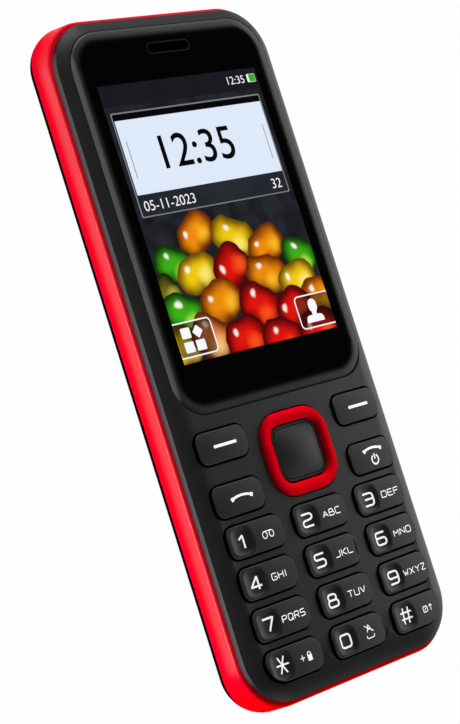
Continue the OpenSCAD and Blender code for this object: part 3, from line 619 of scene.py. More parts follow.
def make_front_shell():
    """The front housing: crowned edge, window recess, key holes and the hollow behind them."""
    dull_ends_and_paint_wall_light()
    shell = outline("front_shell", FRONT_W, FRONT_L, same(FRONT_R), 0, 0, LEDGE_Z, 14)
    raise_face(FACE_Z - CROWN_DROP - LEDGE_Z)
    crown_over(12)
    hold_flat()
    for i in range(-12, 13):
        bpy.ops.mesh.select_all(action="SELECT")
        bpy.ops.mesh.bisect(plane_co=(i * ARC_PITCH * MM, 0, 0), plane_no=(1, 0, 0))
    object_mode(shell)
    # The crown at the edge blends into the wide arc of the face
    for vert in shell.data.vertices:
        crown = FACE_Z - vert.co.z / MM
        if crown < CROWN_DROP - 0.01:
            vert.co.z = (FACE_Z - (max(crown, 0) ** 4 + side_fall(vert.co.x / MM, 0) ** 4) ** 0.25) * MM
    under = LEDGE_Z - 1
    over = FACE_Z + 1
    top_r = WINDOW_TOP_R + WINDOW_GAP
    end_r = WINDOW_END_R + WINDOW_GAP
    tools = [
        block(
            "tool", WINDOW_W + 2 * WINDOW_GAP, WINDOW_L + 2 * WINDOW_GAP, (top_r, top_r, end_r, end_r),
            0, WINDOW_Y, GLASS_Z - WINDOW_T, over, 14,
        ),
        block(
            "tool", NAV_W + 2 * NAV_GAP, NAV_H + 2 * NAV_GAP, same(NAV_R + NAV_GAP), 0, NAV_Y, under, over, 14
        ),
    ]
    gap = 2 * KEY_GAP
    for node, column, row, digit, side in NUMBER_KEYS:
        width = key_width(column) + gap - RIGHT_GAP_CUT
        x = column * COLUMN - RIGHT_GAP_CUT / 2
        y = ROW_Y - row * ROW
        tools.append(block("tool", width, KEY_H + gap, key_radii(node, KEY_GAP), x, y, under, over))
    for node, x, y in FUNCTION_KEYS:
        tools.append(block("tool", FUNC_W + gap, FUNC_H + gap, same(KEY_R + KEY_GAP), x, y, under, over))
    cut(shell, *tools)
    pad_end = -FRONT_L / 2 + FRONT_WALL
    hollow = block(
        "tool", FRONT_W - 2 * FRONT_WALL, PAD_TOP - pad_end, (1, 1, PAD_R, PAD_R),
        0, (PAD_TOP + pad_end) / 2, under, FACE_Z - FACE_T,
    )
    cut(shell, hollow)
    soften_edges(shell, SHARP_EDGE, 62)
    dress(shell, "root", "housing", satin_abs, "front_housing", flat=True)


def key_width(column):
    return SIDE_KEY_W if column else KEY_W


def key_radii(node, grow):
    """Corner radii of a number key, where the outer lower corners of the last row are larger."""
    radius = KEY_R + grow
    big = KEY_BIG_R + grow
    if node == "key_star":
        return (radius, radius, big, radius)
    if node == "key_hash":
        return (radius, radius, radius, big)
    return same(radius)


def flare_corners(piece):
    """Lets the corner radius of the casing grow from the rounded back up to the ledge."""
    for vert in piece.data.vertices:
        place = vert.co / MM
        share = max(0, (place.z - BACK_R) / (LEDGE_Z - BACK_R))
        radius = LOW_R + (BODY_R - LOW_R) * share
        across = (abs(place.x) - BODY_W / 2 + LOW_R) / LOW_R
        along = (abs(place.y) - BODY_L / 2 + LOW_R) / LOW_R
        vert.co.x = math.copysign(BODY_W / 2 - radius + radius * across, place.x) * MM
        vert.co.y = math.copysign(BODY_L / 2 - radius + radius * along, place.y) * MM


def make_side_frame():
    """The red band round the middle, with its ledge, rounded towards the seam of the rear cover."""
    vary_lacquer()
    band = outline("red_side_frame", BODY_W, BODY_L, same(LOW_R), 0, 0, BACK_R, 18)
    steps = 5
    for i in range(steps):
        raise_face((LEDGE_Z - FRAME_EDGE - BACK_R) / steps)
    object_mode(band)
    flare_corners(band)
    bpy.ops.object.mode_set(mode="EDIT")
    pick_faces(band, lambda p, n: n.z > 0.99)
    round_over(FRAME_EDGE, FRAME_EDGE, 4)
    hold_flat()
    pick_faces(band, lambda p, n: n.z < -0.99)
    round_over(BACK_R, BACK_R, 4, 0, SEAM_TURN)
    hold_flat()
    object_mode(band)
    inner = block(
        "tool", BODY_W - 2 * FRAME_WALL, BODY_L - 2 * FRAME_WALL, same(BODY_R - FRAME_WALL),
        0, 0, SEAM_Z - 1, LEDGE_Z + 1, 14,
    )
    usb = block("tool", USB_W, 6, same(0.4), 0, -BODY_L / 2, USB_Z - USB_H / 2, USB_Z + USB_H / 2, 3)
    cut(band, inner)
    cut(band, usb)
    bpy.ops.object.select_all(action="DESELECT")
    bpy.ops.mesh.primitive_cylinder_add(
        vertices=24, radius=MIC_R * MM, depth=4 * MM,
        location=(MIC_X * MM, -BODY_L / 2 * MM, USB_Z * MM), rotation=(math.pi / 2, 0, 0),
    )
    cut(band, bpy.context.object)
    dress(band, "root", "frame_red", red_lacquer, "mid_frame", flat=True)


def make_back_cover():
    """The rear cover: a shallow tray with a rounded edge, a lip, a camera hole and sound slots."""
    w = BODY_W - 2 * SEAM_INSET
    l = BODY_L - 2 * SEAM_INSET
    tray = outline("back_cover", w, l, same(LOW_R - SEAM_INSET), 0, 0, SEAM_Z, 18)
    bpy.ops.mesh.flip_normals()
    raise_face(-SEAM_STEP)
    round_over(BACK_R, BACK_R - SEAM_STEP * BACK_R / SEAM_Z, 12, SEAM_TURN, 90)
    hold_flat()
    object_mode(tray)
    wall = SEAM_INSET + COVER_T
    room = outline("tool", BODY_W - 2 * wall, BODY_L - 2 * wall, same(LOW_R - wall), 0, 0, SEAM_Z + 1, 14)
    bpy.ops.mesh.flip_normals()
    raise_face(-1)
    round_over(BACK_R - COVER_T, SEAM_Z - COVER_T, 8)
    object_mode(room)
    cut(tray, room)
    holes = []
    for i in range(5):
        y = SPEAKER_Y + (i - 2) * SLIT_PITCH
        holes.append(block("tool", SLIT_W, SLIT_H, same(0.44), SPEAKER_X, y, -1, COVER_T + 1, 6))
    size = 2 * CAMERA_R
    holes.append(block("tool", size, size, same(CAMERA_R - 0.01), CAMERA_X, CAMERA_Y, -1, COVER_T + 1, 12))
    cut(tray, *holes)
    dress(tray, "rear_cover", "cover", cover_abs, "rear_cover", flat=True)
    side = FRAME_WALL + FIT_GAP
    lip = block(
        "cover_lip", BODY_W - 2 * side, BODY_L - 2 * side, same(BODY_R - side),
        0, 0, SEAM_Z - COVER_T, SEAM_Z + LIP_H, 14,
    )
    side = side + LIP_T
    room = block("tool", BODY_W - 2 * side, BODY_L - 2 * side, same(BODY_R - side), 0, 0, 0, SEAM_Z + 2, 14)
    cut(lip, room)
    cut(lip, block("tool", USB_W + 2, 12, same(0.4), 0, -BODY_L / 2, SEAM_Z, SEAM_Z + 2, 3))
    dress(lip, "rear_cover", "cover", cover_abs)


def ear_slot(name, grow, radius, low, high):
    """A block in the form of the earpiece slot, a little wider or narrower."""
    return block(name, EAR_W + grow, EAR_H + grow, same(EAR_H / 2 + radius), 0, EAR_Y, low, high, 12)


def make_lens():
    """The display window: a gloss plate with a soft rolled edge and the earpiece slot."""
    lens = outline(
        "display_lens", WINDOW_W, WINDOW_L, (WINDOW_TOP_R, WINDOW_TOP_R, WINDOW_END_R, WINDOW_END_R),
        0, WINDOW_Y, GLASS_Z - WINDOW_T, 16,
    )
    raise_face(WINDOW_T - WINDOW_ROLL_H)
    round_over(WINDOW_ROLL_W, WINDOW_ROLL_H, 10)
    hold_flat()
    object_mode(lens)
    cut(lens, ear_slot("tool", 0, -0.01, GLASS_Z - 2, GLASS_Z + 1))
    soften_edges(lens, WINDOW_EDGE, 70)
    dress(lens, "root", "window", acrylic_with_painted_rim_light(), "display_window", flat=True)
    rim = ear_slot("earpiece_rim", 0.3, 0.14, GLASS_Z - 0.4, GLASS_Z + 0.01)
    cut(rim, ear_slot("tool", -0.1, -0.06, GLASS_Z - 2, GLASS_Z + 1))
    dress(rim, "root", "window", slot_paint)


# Keys

def key_blank(name, w, h, radii, pitch):
    """A straight key at the origin with a fine round edge and a grid over its top."""
    key = outline(name, w, h, radii, 0, 0, KEY_FOOT, 8)
    raise_face(KEY_TOP - KEY_FOOT - KEY_EDGE)
    round_over(KEY_EDGE, KEY_EDGE, 5)
    hold_flat()
    object_mode(key)
    grid_top(key, KEY_TOP, pitch, w / 2, h / 2)
    return key


def pillow(across, along):
    """Fall of a key's top towards its edges, from shares of its width and height."""
    return PILLOW_ALONG * (2 * along) ** 2 + PILLOW_ACROSS * (2 * across) ** 2 - PILLOW_RISE


def number_key(name, w, radii):
    """A number key at the origin: pillow cap with a scooped hollow on its left for the digit."""
    key = key_blank(name, w, KEY_H, radii, 0.22)

    def depth(x, y):
        across = abs(2 * x - SCOOP_LEFT - SCOOP_RIGHT) / (SCOOP_RIGHT - SCOOP_LEFT)
        along = abs(y) / SCOOP_HALF
        return SCOOP_DEPTH * max(0, 1 - across ** 2.5 - along ** 4) + pillow(x / w, y / KEY_H)

    press_in(key, KEY_TOP, depth)
    return key


def function_key(name):
    """A soft, call or end key at the origin: a low pillow."""
    key = key_blank(name, FUNC_W, FUNC_H, same(KEY_R), 0.4)
    press_in(key, KEY_TOP, lambda x, y: pillow(x / FUNC_W, y / FUNC_H))
    return key


def side_fall(x, y):
    """Fall of the row of keys towards the phone's sides, along the arc of its face."""
    return ARC_FALL * (x / ARC_X) ** 2


def make_keys():
    """All keys with their printed signs."""
    paint_shade_on_key_walls()
    models = {
        0: number_key("middle_key_model", KEY_W, same(KEY_R)),
        1: number_key("side_key_model", SIDE_KEY_W, same(KEY_R)),
        "key_star": number_key("star_key_model", SIDE_KEY_W, key_radii("key_star", 0)),
        "key_hash": number_key("hash_key_model", SIDE_KEY_W, key_radii("key_hash", 0)),
        "function": function_key("function_key_model"),
    }
    for node, column, row, digit, side in NUMBER_KEYS:
        x = column * COLUMN
        y = ROW_Y - row * ROW
        key = copy_piece(models.get(node, models[abs(column)]), "cap_" + node, x, y)
        press_in(key, KEY_TOP, side_fall)
        if node == "key_5":
            # The fine upright line by which a finger finds the middle
            cut(key, block("tool", 0.32, 2.6, same(0.15), x + 5.6, y, KEY_TOP - 0.35, KEY_TOP + 1, 4))
        dress(key, node, "keys", key_lacquer, node, angle=60)
        print_signs("print_" + node, number_signs(digit, side, column), key, node, x, y)
    for node, x, y in FUNCTION_KEYS:
        key = copy_piece(models["function"], "cap_" + node, x, y)
        press_in(key, KEY_TOP, side_fall)
        dress(key, node, "keys", key_lacquer, node, angle=60)
        print_signs("print_" + node, function_signs(node), key, node, x + FUNC_SIGN_X, y)
    for model in models.values():
        bpy.data.objects.remove(model)


def make_navigation():
    """The red ring and the domed key inside it."""
    # Painted shade: the ring's red darkens where its surface faces left, away from the lamps
    paint_light_by_facing(red_ring, (-1, 0, 0), 0.05, 0.8, "#a80012")
    ring = outline("navigation_ring", NAV_W, NAV_H, same(NAV_R), 0, NAV_Y, NAV_FOOT, 16)
    raise_face(NAV_TOP - NAV_EDGE - NAV_FOOT)
    round_over(NAV_EDGE, NAV_EDGE, 6)
    bpy.ops.mesh.inset(thickness=(NAV_BAND - 2 * NAV_EDGE) * MM, depth=0)
    round_over(NAV_EDGE, NAV_EDGE, 6, 90, 180)
    raise_face(NAV_FOOT + 0.001 - NAV_TOP + NAV_EDGE)
    pick_faces(ring, lambda p, n: abs(n.z) > 0.99 and p.z < NAV_FOOT + 0.1)
    bpy.ops.mesh.delete(type="FACE")
    pick(ring, lambda p: p.z < NAV_FOOT + 0.1)
    bpy.ops.mesh.select_mode(type="EDGE")
    bpy.ops.mesh.bridge_edge_loops()
    object_mode(ring)
    dress(ring, "nav_ring", "ring_red", red_ring, "nav_ring", angle=50)
    key = outline("select_key", OK_W, OK_H, same(OK_R), 0, 0, OK_FOOT, 12)
    rim = OK_TOP - OK_DOME
    raise_face(rim - OK_FOOT - OK_EDGE)
    round_over(OK_EDGE, OK_EDGE, 4)
    for inward, rise in OK_GROOVE:
        bpy.ops.mesh.inset(thickness=inward * MM, depth=rise * MM)
    hold_flat()
    object_mode(key)
    grid_top(key, rim, 0.3, OK_W / 2, OK_H / 2)

    def dome(x, y):
        return -OK_DOME * max(0, 1 - (x / OK_DOME_X) ** 2) * max(0, 1 - (y / OK_DOME_Y) ** 2)

    press_in(key, OK_TOP, dome)
    placed = copy_piece(key, "select_key_cap", 0, NAV_Y)
    bpy.data.objects.remove(key)
    dress(placed, "ok_key", "keys", key_lacquer, "ok_key", angle=50)


# Printed signs

def soften(points, radius):
    """Rounds the inner corners of a stroke and divides its straight parts finely."""
    path = [Vector(points[0])]
    for before, corner, after in zip(points, points[1:], points[2:]):
        before, corner, after = Vector(before), Vector(corner), Vector(after)
        start = corner + (before - corner).normalized() * min(radius, (before - corner).length / 2)
        end = corner + (after - corner).normalized() * min(radius, (after - corner).length / 2)
        for i in range(6):
            t = i / 5
            path.append(start * (1 - t) ** 2 + corner * 2 * t * (1 - t) + end * t ** 2)
    path.append(Vector(points[-1]))
    fine = [path[0]]
    for a, b in zip(path, path[1:]):
        count = max(1, int((b - a).length / 0.15))
        fine += [a.lerp(b, (i + 1) / count) for i in range(count)]
    return fine


def word(text, x, y, w, h, pitch=0):
    """Strokes of a row of signs whose first box starts at x, with its lower edge at y."""
    strokes = []
    for i, sign in enumerate(text):
        for stroke in STROKES[sign]:
            strokes.append([(x + i * pitch + u * w, y + v * h) for u, v in stroke])
    return strokes


def arc(x, y, rx, ry, start, end, count=16):
    turns = [math.radians(start + (end - start) * i / count) for i in range(count + 1)]
    return [(x + rx * math.cos(t), y + ry * math.sin(t)) for t in turns]


def small_sign(side, column):
    """Strokes of the small sign or the letters beside a digit."""
    x = WORD_X
    y = WORD_Y
    if side == "voicemail":
        rolls = [arc(x + turn * 0.75, y - 0.1, 0.5, 0.58, 0, 360) for turn in (-1, 1)]
        return rolls + [[(x - 0.75, y + 0.48), (x + 0.75, y + 0.48)]]
    if side == "lock":
        plus = [[(x - 1.5, y), (x - 0.5, y)], [(x - 1, y - 0.5), (x - 1, y + 0.5)]]
        case = [[(x + 0.1, y + 0.15 - 0.17 * i), (x + 1.1, y + 0.15 - 0.17 * i)] for i in range(6)]
        return plus + [arc(x + 0.6, y + 0.2, 0.38, 0.5, 0, 180)] + case
    if side == "space":
        return [
            [(x - 0.9, y - 0.55), (x - 0.9, y - 1.05), (x + 0.9, y - 1.05), (x + 0.9, y - 0.55)],
            [(x - 0.6, y), (x, y + 1.3), (x + 0.6, y)],
            [(x - 0.35, y + 0.45), (x + 0.35, y + 0.45)],
            [(x - 0.95, y + 1.2), (x + 0.95, y - 0.05)],
        ]
    if side == "shift":
        return [
            [(x - 1.1, y - 0.5), (x - 1.1, y + 0.5), (x, y + 0.5), (x, y - 0.5), (x - 1.1, y - 0.5)],
            [(x - 0.8, y - 0.2), (x - 0.3, y + 0.25)],
            [(x + 0.9, y - 0.55), (x + 0.9, y + 0.6)],
            [(x + 0.5, y + 0.2), (x + 0.9, y + 0.65), (x + 1.3, y + 0.2)],
        ]
    # The letters stand a little wider apart from column to column
    pitch = (1.48 if len(side) == 4 else 1.56) + 0.08 * column
    return word(side, x - (len(side) * pitch - 0.3) / 2, y - 0.52, pitch - 0.4, WORD_H, pitch)


def number_signs(digit, side, column):
    """Strokes of a number key in its own millimetres: line width, corner radius and strokes."""
    left = DIGIT_X - (1.1 if column else 1.3)
    small = (WORD_LINE, SIGN_R, small_sign(side, column))
    if digit in "*#":
        return [(STAR_LINE, 0.1, word(digit, left, STAR_Y, STAR_W, STAR_H)), small]
    radius = 0.12 if digit in "147" else 0.6
    return [(DIGIT_LINE, radius, word(digit, left, DIGIT_Y, DIGIT_W, DIGIT_H)), small]


def function_signs(node):
    """Strokes of a soft, call or end key: line width, corner radius and strokes."""
    if node.startswith("soft"):
        return [(0.5, SIGN_R, [[(-2.5, 0), (2.5, 0)]])]
    lift = 0.15 if node == "call_key" else 1.15
    handset = arc(0, lift - 1.4, 3.2, 1.55, 138, 42)
    signs = [(0.4, SIGN_R, [handset]), (0.68, SIGN_R, [handset[:3], handset[-3:]])]
    if node == "end_key":
        signs.append((0.3, SIGN_R, [arc(0, -0.85, 0.85, 0.85, 120, 420), [(0, -0.75), (0, 0.2)]]))
    return signs


def new_line(name, points):
    """An open curve of straight parts, linked into the scene."""
    curve = bpy.data.curves.new(name, "CURVE")
    spline = curve.splines.new("POLY")
    spline.points.add(len(points) - 1)
    for point, (x, y, z) in zip(spline.points, points):
        point.co = (x * MM, y * MM, z * MM, 1)
    line = bpy.data.objects.new(name, curve)
    bpy.context.collection.objects.link(line)
    return line


def lay_ribbon(points, width, key, height):
    """A ribbon of ink along a stroke, pressed onto the key at its own small height."""
    profile = new_line("edge", [(-width / 2, 0, 0), (width / 2, 0, 0)])
    ribbon = new_line("ribbon", [(p.x, p.y, KEY_TOP + 1) for p in points])
    ribbon.data.dimensions = "3D"
    ribbon.data.twist_mode = "Z_UP"
    ribbon.data.bevel_mode = "OBJECT"
    ribbon.data.bevel_object = profile
    make_active(ribbon)
    bpy.ops.object.convert(target="MESH")
    ribbon = bpy.context.object
    bpy.data.objects.remove(profile)
    apply_modifier(
        ribbon, "SHRINKWRAP", target=key, wrap_method="PROJECT", use_project_z=True,
        use_negative_direction=True, use_positive_direction=False, offset=height * MM,
    )
    return ribbon


def print_signs(name, groups, key, body, x, y):
    """Lays ribbons of ink along the strokes of a key's signs."""
    ribbons = []
    for width, radius, strokes in groups:
        for stroke in strokes:
            points = soften([(u + x, v + y) for u, v in stroke], radius)
            ribbons.append(lay_ribbon(points, width, key, INK_T + INK_STEP * len(ribbons)))
    signs = join(ribbons)
    signs.name = name
    dress(signs, body, "keys", white_ink)


# Display picture

# Sweets of the picture from the back to the front: middle, size, turn and colour
SWEETS = [
    (-6.5, -2.4, 9.0, 6.4, 35, "amber"), (1.8, -4.0, 9.5, 6.6, -20, "yellow"),
    (-13.0, -6.9, 8.6, 6.4, -15, "green"), (8.8, -6.6, 9.0, 6.4, 25, "amber"),
    (15.8, -9.6, 8.2, 6.4, -30, "green"), (-17.0, -11.6, 7.6, 6.6, 30, "olive"),
    (-8.6, -9.0, 9.2, 6.8, 10, "yellow"), (-0.8, -9.2, 9.0, 7.2, 40, "red"),
    (6.6, -11.6, 9.4, 6.8, -12, "amber"), (13.4, -13.8, 9.0, 6.8, 18, "yellow"),
    (-14.0, -15.4, 9.6, 6.8, -25, "green"), (-5.4, -14.6, 9.6, 7.2, 22, "amber"),
    (3.0, -16.8, 9.6, 7.4, -30, "red"), (17.4, -17.2, 7.8, 6.4, 0, "amber"),
    (10.6, -18.4, 8.8, 6.8, 35, "red"), (-17.0, -20.8, 8.8, 7.4, 15, "yellow"),
    (-9.6, -20.2, 9.6, 7.2, -35, "peach"), (-2.4, -21.8, 9.8, 7.4, 8, "red"),
    (6.0, -23.4, 9.6, 7.0, -15, "red"), (15.0, -23.2, 9.8, 7.4, 12, "red"),
]
# Colours of a sweet: its body, its deep parts and its lit rim
TINTS = {
    "red": ("#e01208", "#4a0204", "#ff5a1e"), "amber": ("#ec8a08", "#6a2402", "#ffc42a"),
    "green": ("#3cae14", "#0c3006", "#c8f45a"), "olive": ("#6c6816", "#1c1e04", "#c4c04a"),
    "peach": ("#e0803a", "#5c2408", "#ffd28a"), "yellow": ("#eec80e", "#6e4a02", "#fff27a"),
}

# The panel's dark gloss front, which its own light shines through
GLOSS_FRONT = {"base_color": linear("#020203"), "roughness": 0.08, "emission_strength": 1.0}


def backlit(name, low, high, size=6):
    """A patch of the lit panel: its own light with a faint unevenness under a gloss front."""
    material, tree, shader, place = new_material(name, **GLOSS_FRONT)
    noise = add_node(tree, "TexNoise", {"Vector": place, "Scale": 1 / (size * MM), "Detail": 1})
    colour = add_node(tree, "Mix", {0: noise, 6: linear(low), 7: linear(high)}, 2, **COLOUR)
    feed(shader, {"Emission Color": colour})
    return material


def round_reach(tree, place, x, y, w, h, radius, turn):
    """Distance out of a rounded box on the display, one at its outline, and the place inside it."""
    local = add_node(tree, "Mapping", {
        "Vector": place, "Location": (x * MM, (ACTIVE_Y + y) * MM, GLASS_Z * MM),
        "Rotation": (0, 0, math.radians(turn)), "Scale": (radius * MM, radius * MM, 1),
    }, vector_type="TEXTURE")
    return reach_out(tree, local, (w / 2 / radius - 1, h / 2 / radius - 1, 1)), local


def lay_sweet(tree, place, below, x, y, w, h, turn, tint):
    """Lays a glossy jelly sweet over the picture so far: deep sides, lit rim, glow and sparkle."""
    body, deep, rim = [linear(colour) for colour in TINTS[tint]]
    reach, local = round_reach(tree, place, x, y, w, h, 0.46 * min(w, h), turn)
    share = add_node(tree, "MapRange", {0: reach, 1: 0.1, 2: 1.0}, **SOFT)
    colour = add_node(tree, "Mix", {0: share, 6: body, 7: deep}, 2, **COLOUR)
    glow = ((0.5, -0.35, 0), 0.05, 0.75, 0.75, rim)
    sparkle = ((-0.55, 0.42, 0), 0.06, 0.28, 0.95, linear("#fff8e8"))
    for spot, near, far, most, shine in (glow, sparkle):
        away = add_node(tree, "VectorMath", {0: local, 1: spot}, "Value", operation="DISTANCE")
        share = add_node(tree, "MapRange", {0: away, 1: near, 2: far, 3: most, 4: 0.0}, **SOFT)
        colour = add_node(tree, "Mix", {0: share, 6: colour, 7: shine}, 2, **COLOUR)
    inside = add_node(tree, "MapRange", {0: reach, 1: 0.96, 2: 1.04, 3: 1.0, 4: 0.0}, **SOFT)
    return add_node(tree, "Mix", {0: inside, 6: below, 7: colour}, 2, **COLOUR)


def sweets_picture():
    """A heap of glossy jelly sweets over a dark ground, all drawn by the panel's light."""
    material, tree, shader, place = new_material("lit_sweets_picture", **GLOSS_FRONT)
    waves = {"Vector": place, "Scale": 1 / (3.5 * MM), "Detail": 1}
    drift = {0: add_node(tree, "TexNoise", waves, "Color"), 1: (1.6 * MM, 1.6 * MM, 0), 2: place}
    bent = add_node(tree, "VectorMath", drift, operation="MULTIPLY_ADD")
    ground = add_node(tree, "MapRange", {0: add_node(tree, "TexNoise", waves), 1: 0.3, 2: 0.7}, **SOFT)
    colour = add_node(tree, "Mix", {0: ground, 6: linear("#17191d"), 7: linear("#24272c")}, 2, **COLOUR)
    for sweet in SWEETS:
        colour = lay_sweet(tree, bent, colour, *sweet)
    # Darker patches behind the two menu signs
    for x, y in [(-14.1, -20.5), (14.2, -20.6)]:
        reach, local = round_reach(tree, place, x, y, 8.4, 6.2, 1.0, 0)
        share = add_node(tree, "MapRange", {0: reach, 1: 0.9, 2: 1.1, 3: 0.72, 4: 0.0}, **SOFT)
        colour = add_node(tree, "Mix", {0: share, 6: colour, 7: linear("#0c0708")}, 2, **COLOUR)
    feed(shader, {"Emission Color": colour})
    return material


def panel(name, x0, y0, x1, y1, layer, material, radius=0.02):
    """A thin patch of the picture between two corners, in display millimetres, on its own layer."""
    base = GLASS_Z - LAYER / 2 + layer * LAYER
    y = ACTIVE_Y + (y0 + y1) / 2
    piece = block(name, x1 - x0, y1 - y0, same(radius), (x0 + x1) / 2, y, base, base + LAYER, 6)
    dress(piece, "root", "display", material)
    return piece


def screen_text(name, text, size, x, y, layer, material, align="LEFT", weight=-0.005):
    """Plain figures on the display, with their lower edge at y and strokes widened by a share of the size."""
    bpy.ops.object.select_all(action="DESELECT")
    bpy.ops.object.text_add()
    label = bpy.context.object
    label.data.body = text
    label.data.size = size * MM
    label.data.align_x = align
    label.data.extrude = LAYER / 2 * MM
    label.data.offset = weight * size * MM
    bpy.ops.object.convert(target="MESH")
    piece = bpy.context.object
    piece.name = name
    move(piece, x, ACTIVE_Y + y, GLASS_Z + layer * LAYER)
    dress(piece, "root", "display", material)


def thin_frame(name, x0, y0, x1, y1, line, layer, material):
    """A thin lit outline with round corners, open where it runs over the edge of the picture."""
    ring = panel(name, x0, y0, x1, y1, layer, material, 1.0)
    low = GLASS_Z - 1
    high = GLASS_Z + 1
    inner = block(
        "tool", x1 - x0 - 2 * line, y1 - y0 - 2 * line, same(1.0 - line),
        (x0 + x1) / 2, ACTIVE_Y + (y0 + y1) / 2, low, high, 6,
    )
    cut(ring, inner)
    side = math.copysign(1, x0 + x1)
    cut(ring, block("tool", 10, 20, same(0.1), side * (ACTIVE_W / 2 + 5), ACTIVE_Y + y0, low, high, 2))


def make_picture():
    """The lit picture: status bar, clock panel, heap of sweets and two menu signs."""
    half_w = ACTIVE_W / 2
    half_l = ACTIVE_L / 2
    dark = backlit("lit_dark_ground", "#14151a", "#1b1d24")
    pale = backlit("lit_pale_blue", "#dbe6f8", "#e2ecfb", 12)
    strip = backlit("lit_strip", "#191c22", "#2b3038")
    rim = backlit("lit_grey_rim", "#6a6e74", "#8b8f94", 10)
    white = backlit("lit_white", "#f2f4f8", "#ffffff")
    black = backlit("lit_black", "#020203", "#050507")
    green = backlit("lit_green", "#2fa51c", "#45bd2c")
    panel("picture_ground", -half_w, -half_l, half_w, half_l, 0, sweets_picture())
    panel("picture_status_bar", -half_w, 20.6, half_w, half_l, 1, dark)
    panel("clock_rim", -17.45, 1.1, 17.45, 19.6, 1, rim, 0.3)
    panel("clock_strip", -17.2, 1.3, 17.2, 19.35, 2, strip, 0.3)
    panel("clock_head", -17.2, 18.2, 17.2, 19.3, 3, black)
    panel("clock_field", -17.0, 5.05, 17.15, 18.2, 3, pale)
    panel("clock_tick_left", -15.9, 8.0, -15.75, 14.5, 4, rim)
    panel("clock_tick_right", 15.85, 7.5, 16.0, 14.0, 4, rim)
    screen_text("clock_time", "12:35", 8.5, -1.2, 8.85, 4, black, "CENTER", 0.005)
    screen_text("clock_date", "05-11-2023", 2.55, -16.4, 2.15, 3, white)
    screen_text("clock_week", "32", 2.55, 16.1, 2.15, 3, white, "RIGHT")
    screen_text("status_time", "12:35", 2.1, 15.2, 21.9, 2, white, "RIGHT")
    panel("status_cell_case", 15.8, 21.9, 17.85, 23.4, 2, white, 0.2)
    panel("status_cell_fill", 16.25, 21.97, 17.8, 23.33, 3, green, 0.15)
    thin_frame("menu_outline", -20.0, -23.6, -9.9, -17.4, 0.25, 1, white)
    for i, (x, y) in enumerate([(-17.05, -20.3), (-17.05, -22.75), (-14.45, -22.75)]):
        panel("menu_square_%d" % (i + 1), x, y, x + 2.05, y + 1.85, 1, white, 0.2)
    diamond = panel("menu_diamond", -14.2, -20.3, -12.55, -18.65, 1, white, 0.2)
    bpy.ops.object.mode_set(mode="EDIT")
    bpy.ops.mesh.select_all(action="SELECT")
    middle = (-13.37 * MM, (ACTIVE_Y - 19.45) * MM, GLASS_Z * MM)
    bpy.ops.transform.rotate(value=math.radians(45), orient_axis="Z", center_override=middle)
    object_mode(diamond)
    thin_frame("contact_outline", 10.1, -23.7, 20.0, -17.6, 0.25, 1, white)
    panel("contact_head", 13.1, -21.0, 15.1, -18.5, 1, white, 0.98)
    panel("contact_neck", 13.5, -21.8, 14.6, -20.7, 2, white)
    shoulders = block(
        "contact_shoulders", 4.2, 1.3, (0.9, 0.9, 0.1, 0.1),
        13.95, ACTIVE_Y - 22.05, GLASS_Z, GLASS_Z + 1.5 * LAYER, 6,
    )
    dress(shoulders, "root", "display", white)


# Inner pieces keep their solids and get their own finishes

def metal(name, low, high, rough_low, rough_high):
    """Sheet metal with fine rolling streaks along the phone."""
    material, tree, shader, place = new_material(name, metallic=1.0)
    stretched = add_node(tree, "Mapping", {"Vector": place, "Scale": (1, 0.08, 1)})
    mottle(tree, shader, stretched, 0.6, low, high, rough_low, rough_high)
    return material


def solder_mask(name):
    """Green lacquer over copper tracks, which show as paler lines 0.75 mm apart."""
    material, tree, shader, place = new_material(name, roughness=0.35)
    tracks = add_node(tree, "TexBrick", {
        "Vector": place, "Scale": 1 / (3 * MM), "Mortar Size": 0.03,
        "Color1": linear("#14522e"), "Color2": linear("#1a5f37"), "Mortar": linear("#3b8a58"),
    })
    feed(shader, {"Base Color": tracks})
    return material


def finish_inside():
    """Materials of the CAD nodes that stay."""
    # Rolled stainless sheet: cool grey with long streaks
    steel = metal("stainless_sheet", "#9ea2a6", "#b9bcbf", 0.28, 0.42)
    # Gold plated copper: warm, half gloss
    gold = metal("gold_plate", "#b88d36", "#d2ab55", 0.25, 0.36)
    board = solder_mask("solder_mask")
    # Shrink wrapped cell: blue grey film, half gloss
    wrap = moulded("cell_wrap", "#39444f", "#43505d", 0.38, 0.46, 1.2, 0.08)
    # Moulded silicone: dull dark grey
    silicone = moulded("silicone", "#2e2e30", "#38383b", 0.6, 0.7, 0.4, 0.1)
    # Glass filled moulding: near black, matt
    inner = moulded("glass_filled_moulding", "#1b1c1e", "#242528", 0.5, 0.6, 0.5, 0.2)
    # Woven dust mesh behind the earpiece slot: black cloth
    cloth = moulded("dust_mesh", "#010101", "#020202", 0.9, 1.0, 0.35, 0.3, specular_ior_level=0.0)
    finishes = [
        (cloth, "earpiece_mesh"),
        (silicone, "nav_carrier keypad_mat display_gasket"),
        (board, "circuit_board"),
        (gold, "display_flex vibration_weight battery_contacts"),
        (wrap, "battery"),
        (black_acrylic, "camera_window"),
        (steel, "dome_sheet earpiece_speaker microphone vibration_motor sim_holders memory_card_holder"),
        (steel, "usb_socket shield_can case_screws"),
        (inner, "display_module loudspeaker camera_module antenna main_chip inner_chassis"),
    ]
    for material, names in finishes:
        for name in names.split():
            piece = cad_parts[name]
            piece.data.materials.clear()
            piece.data.materials.append(material)


# Studio

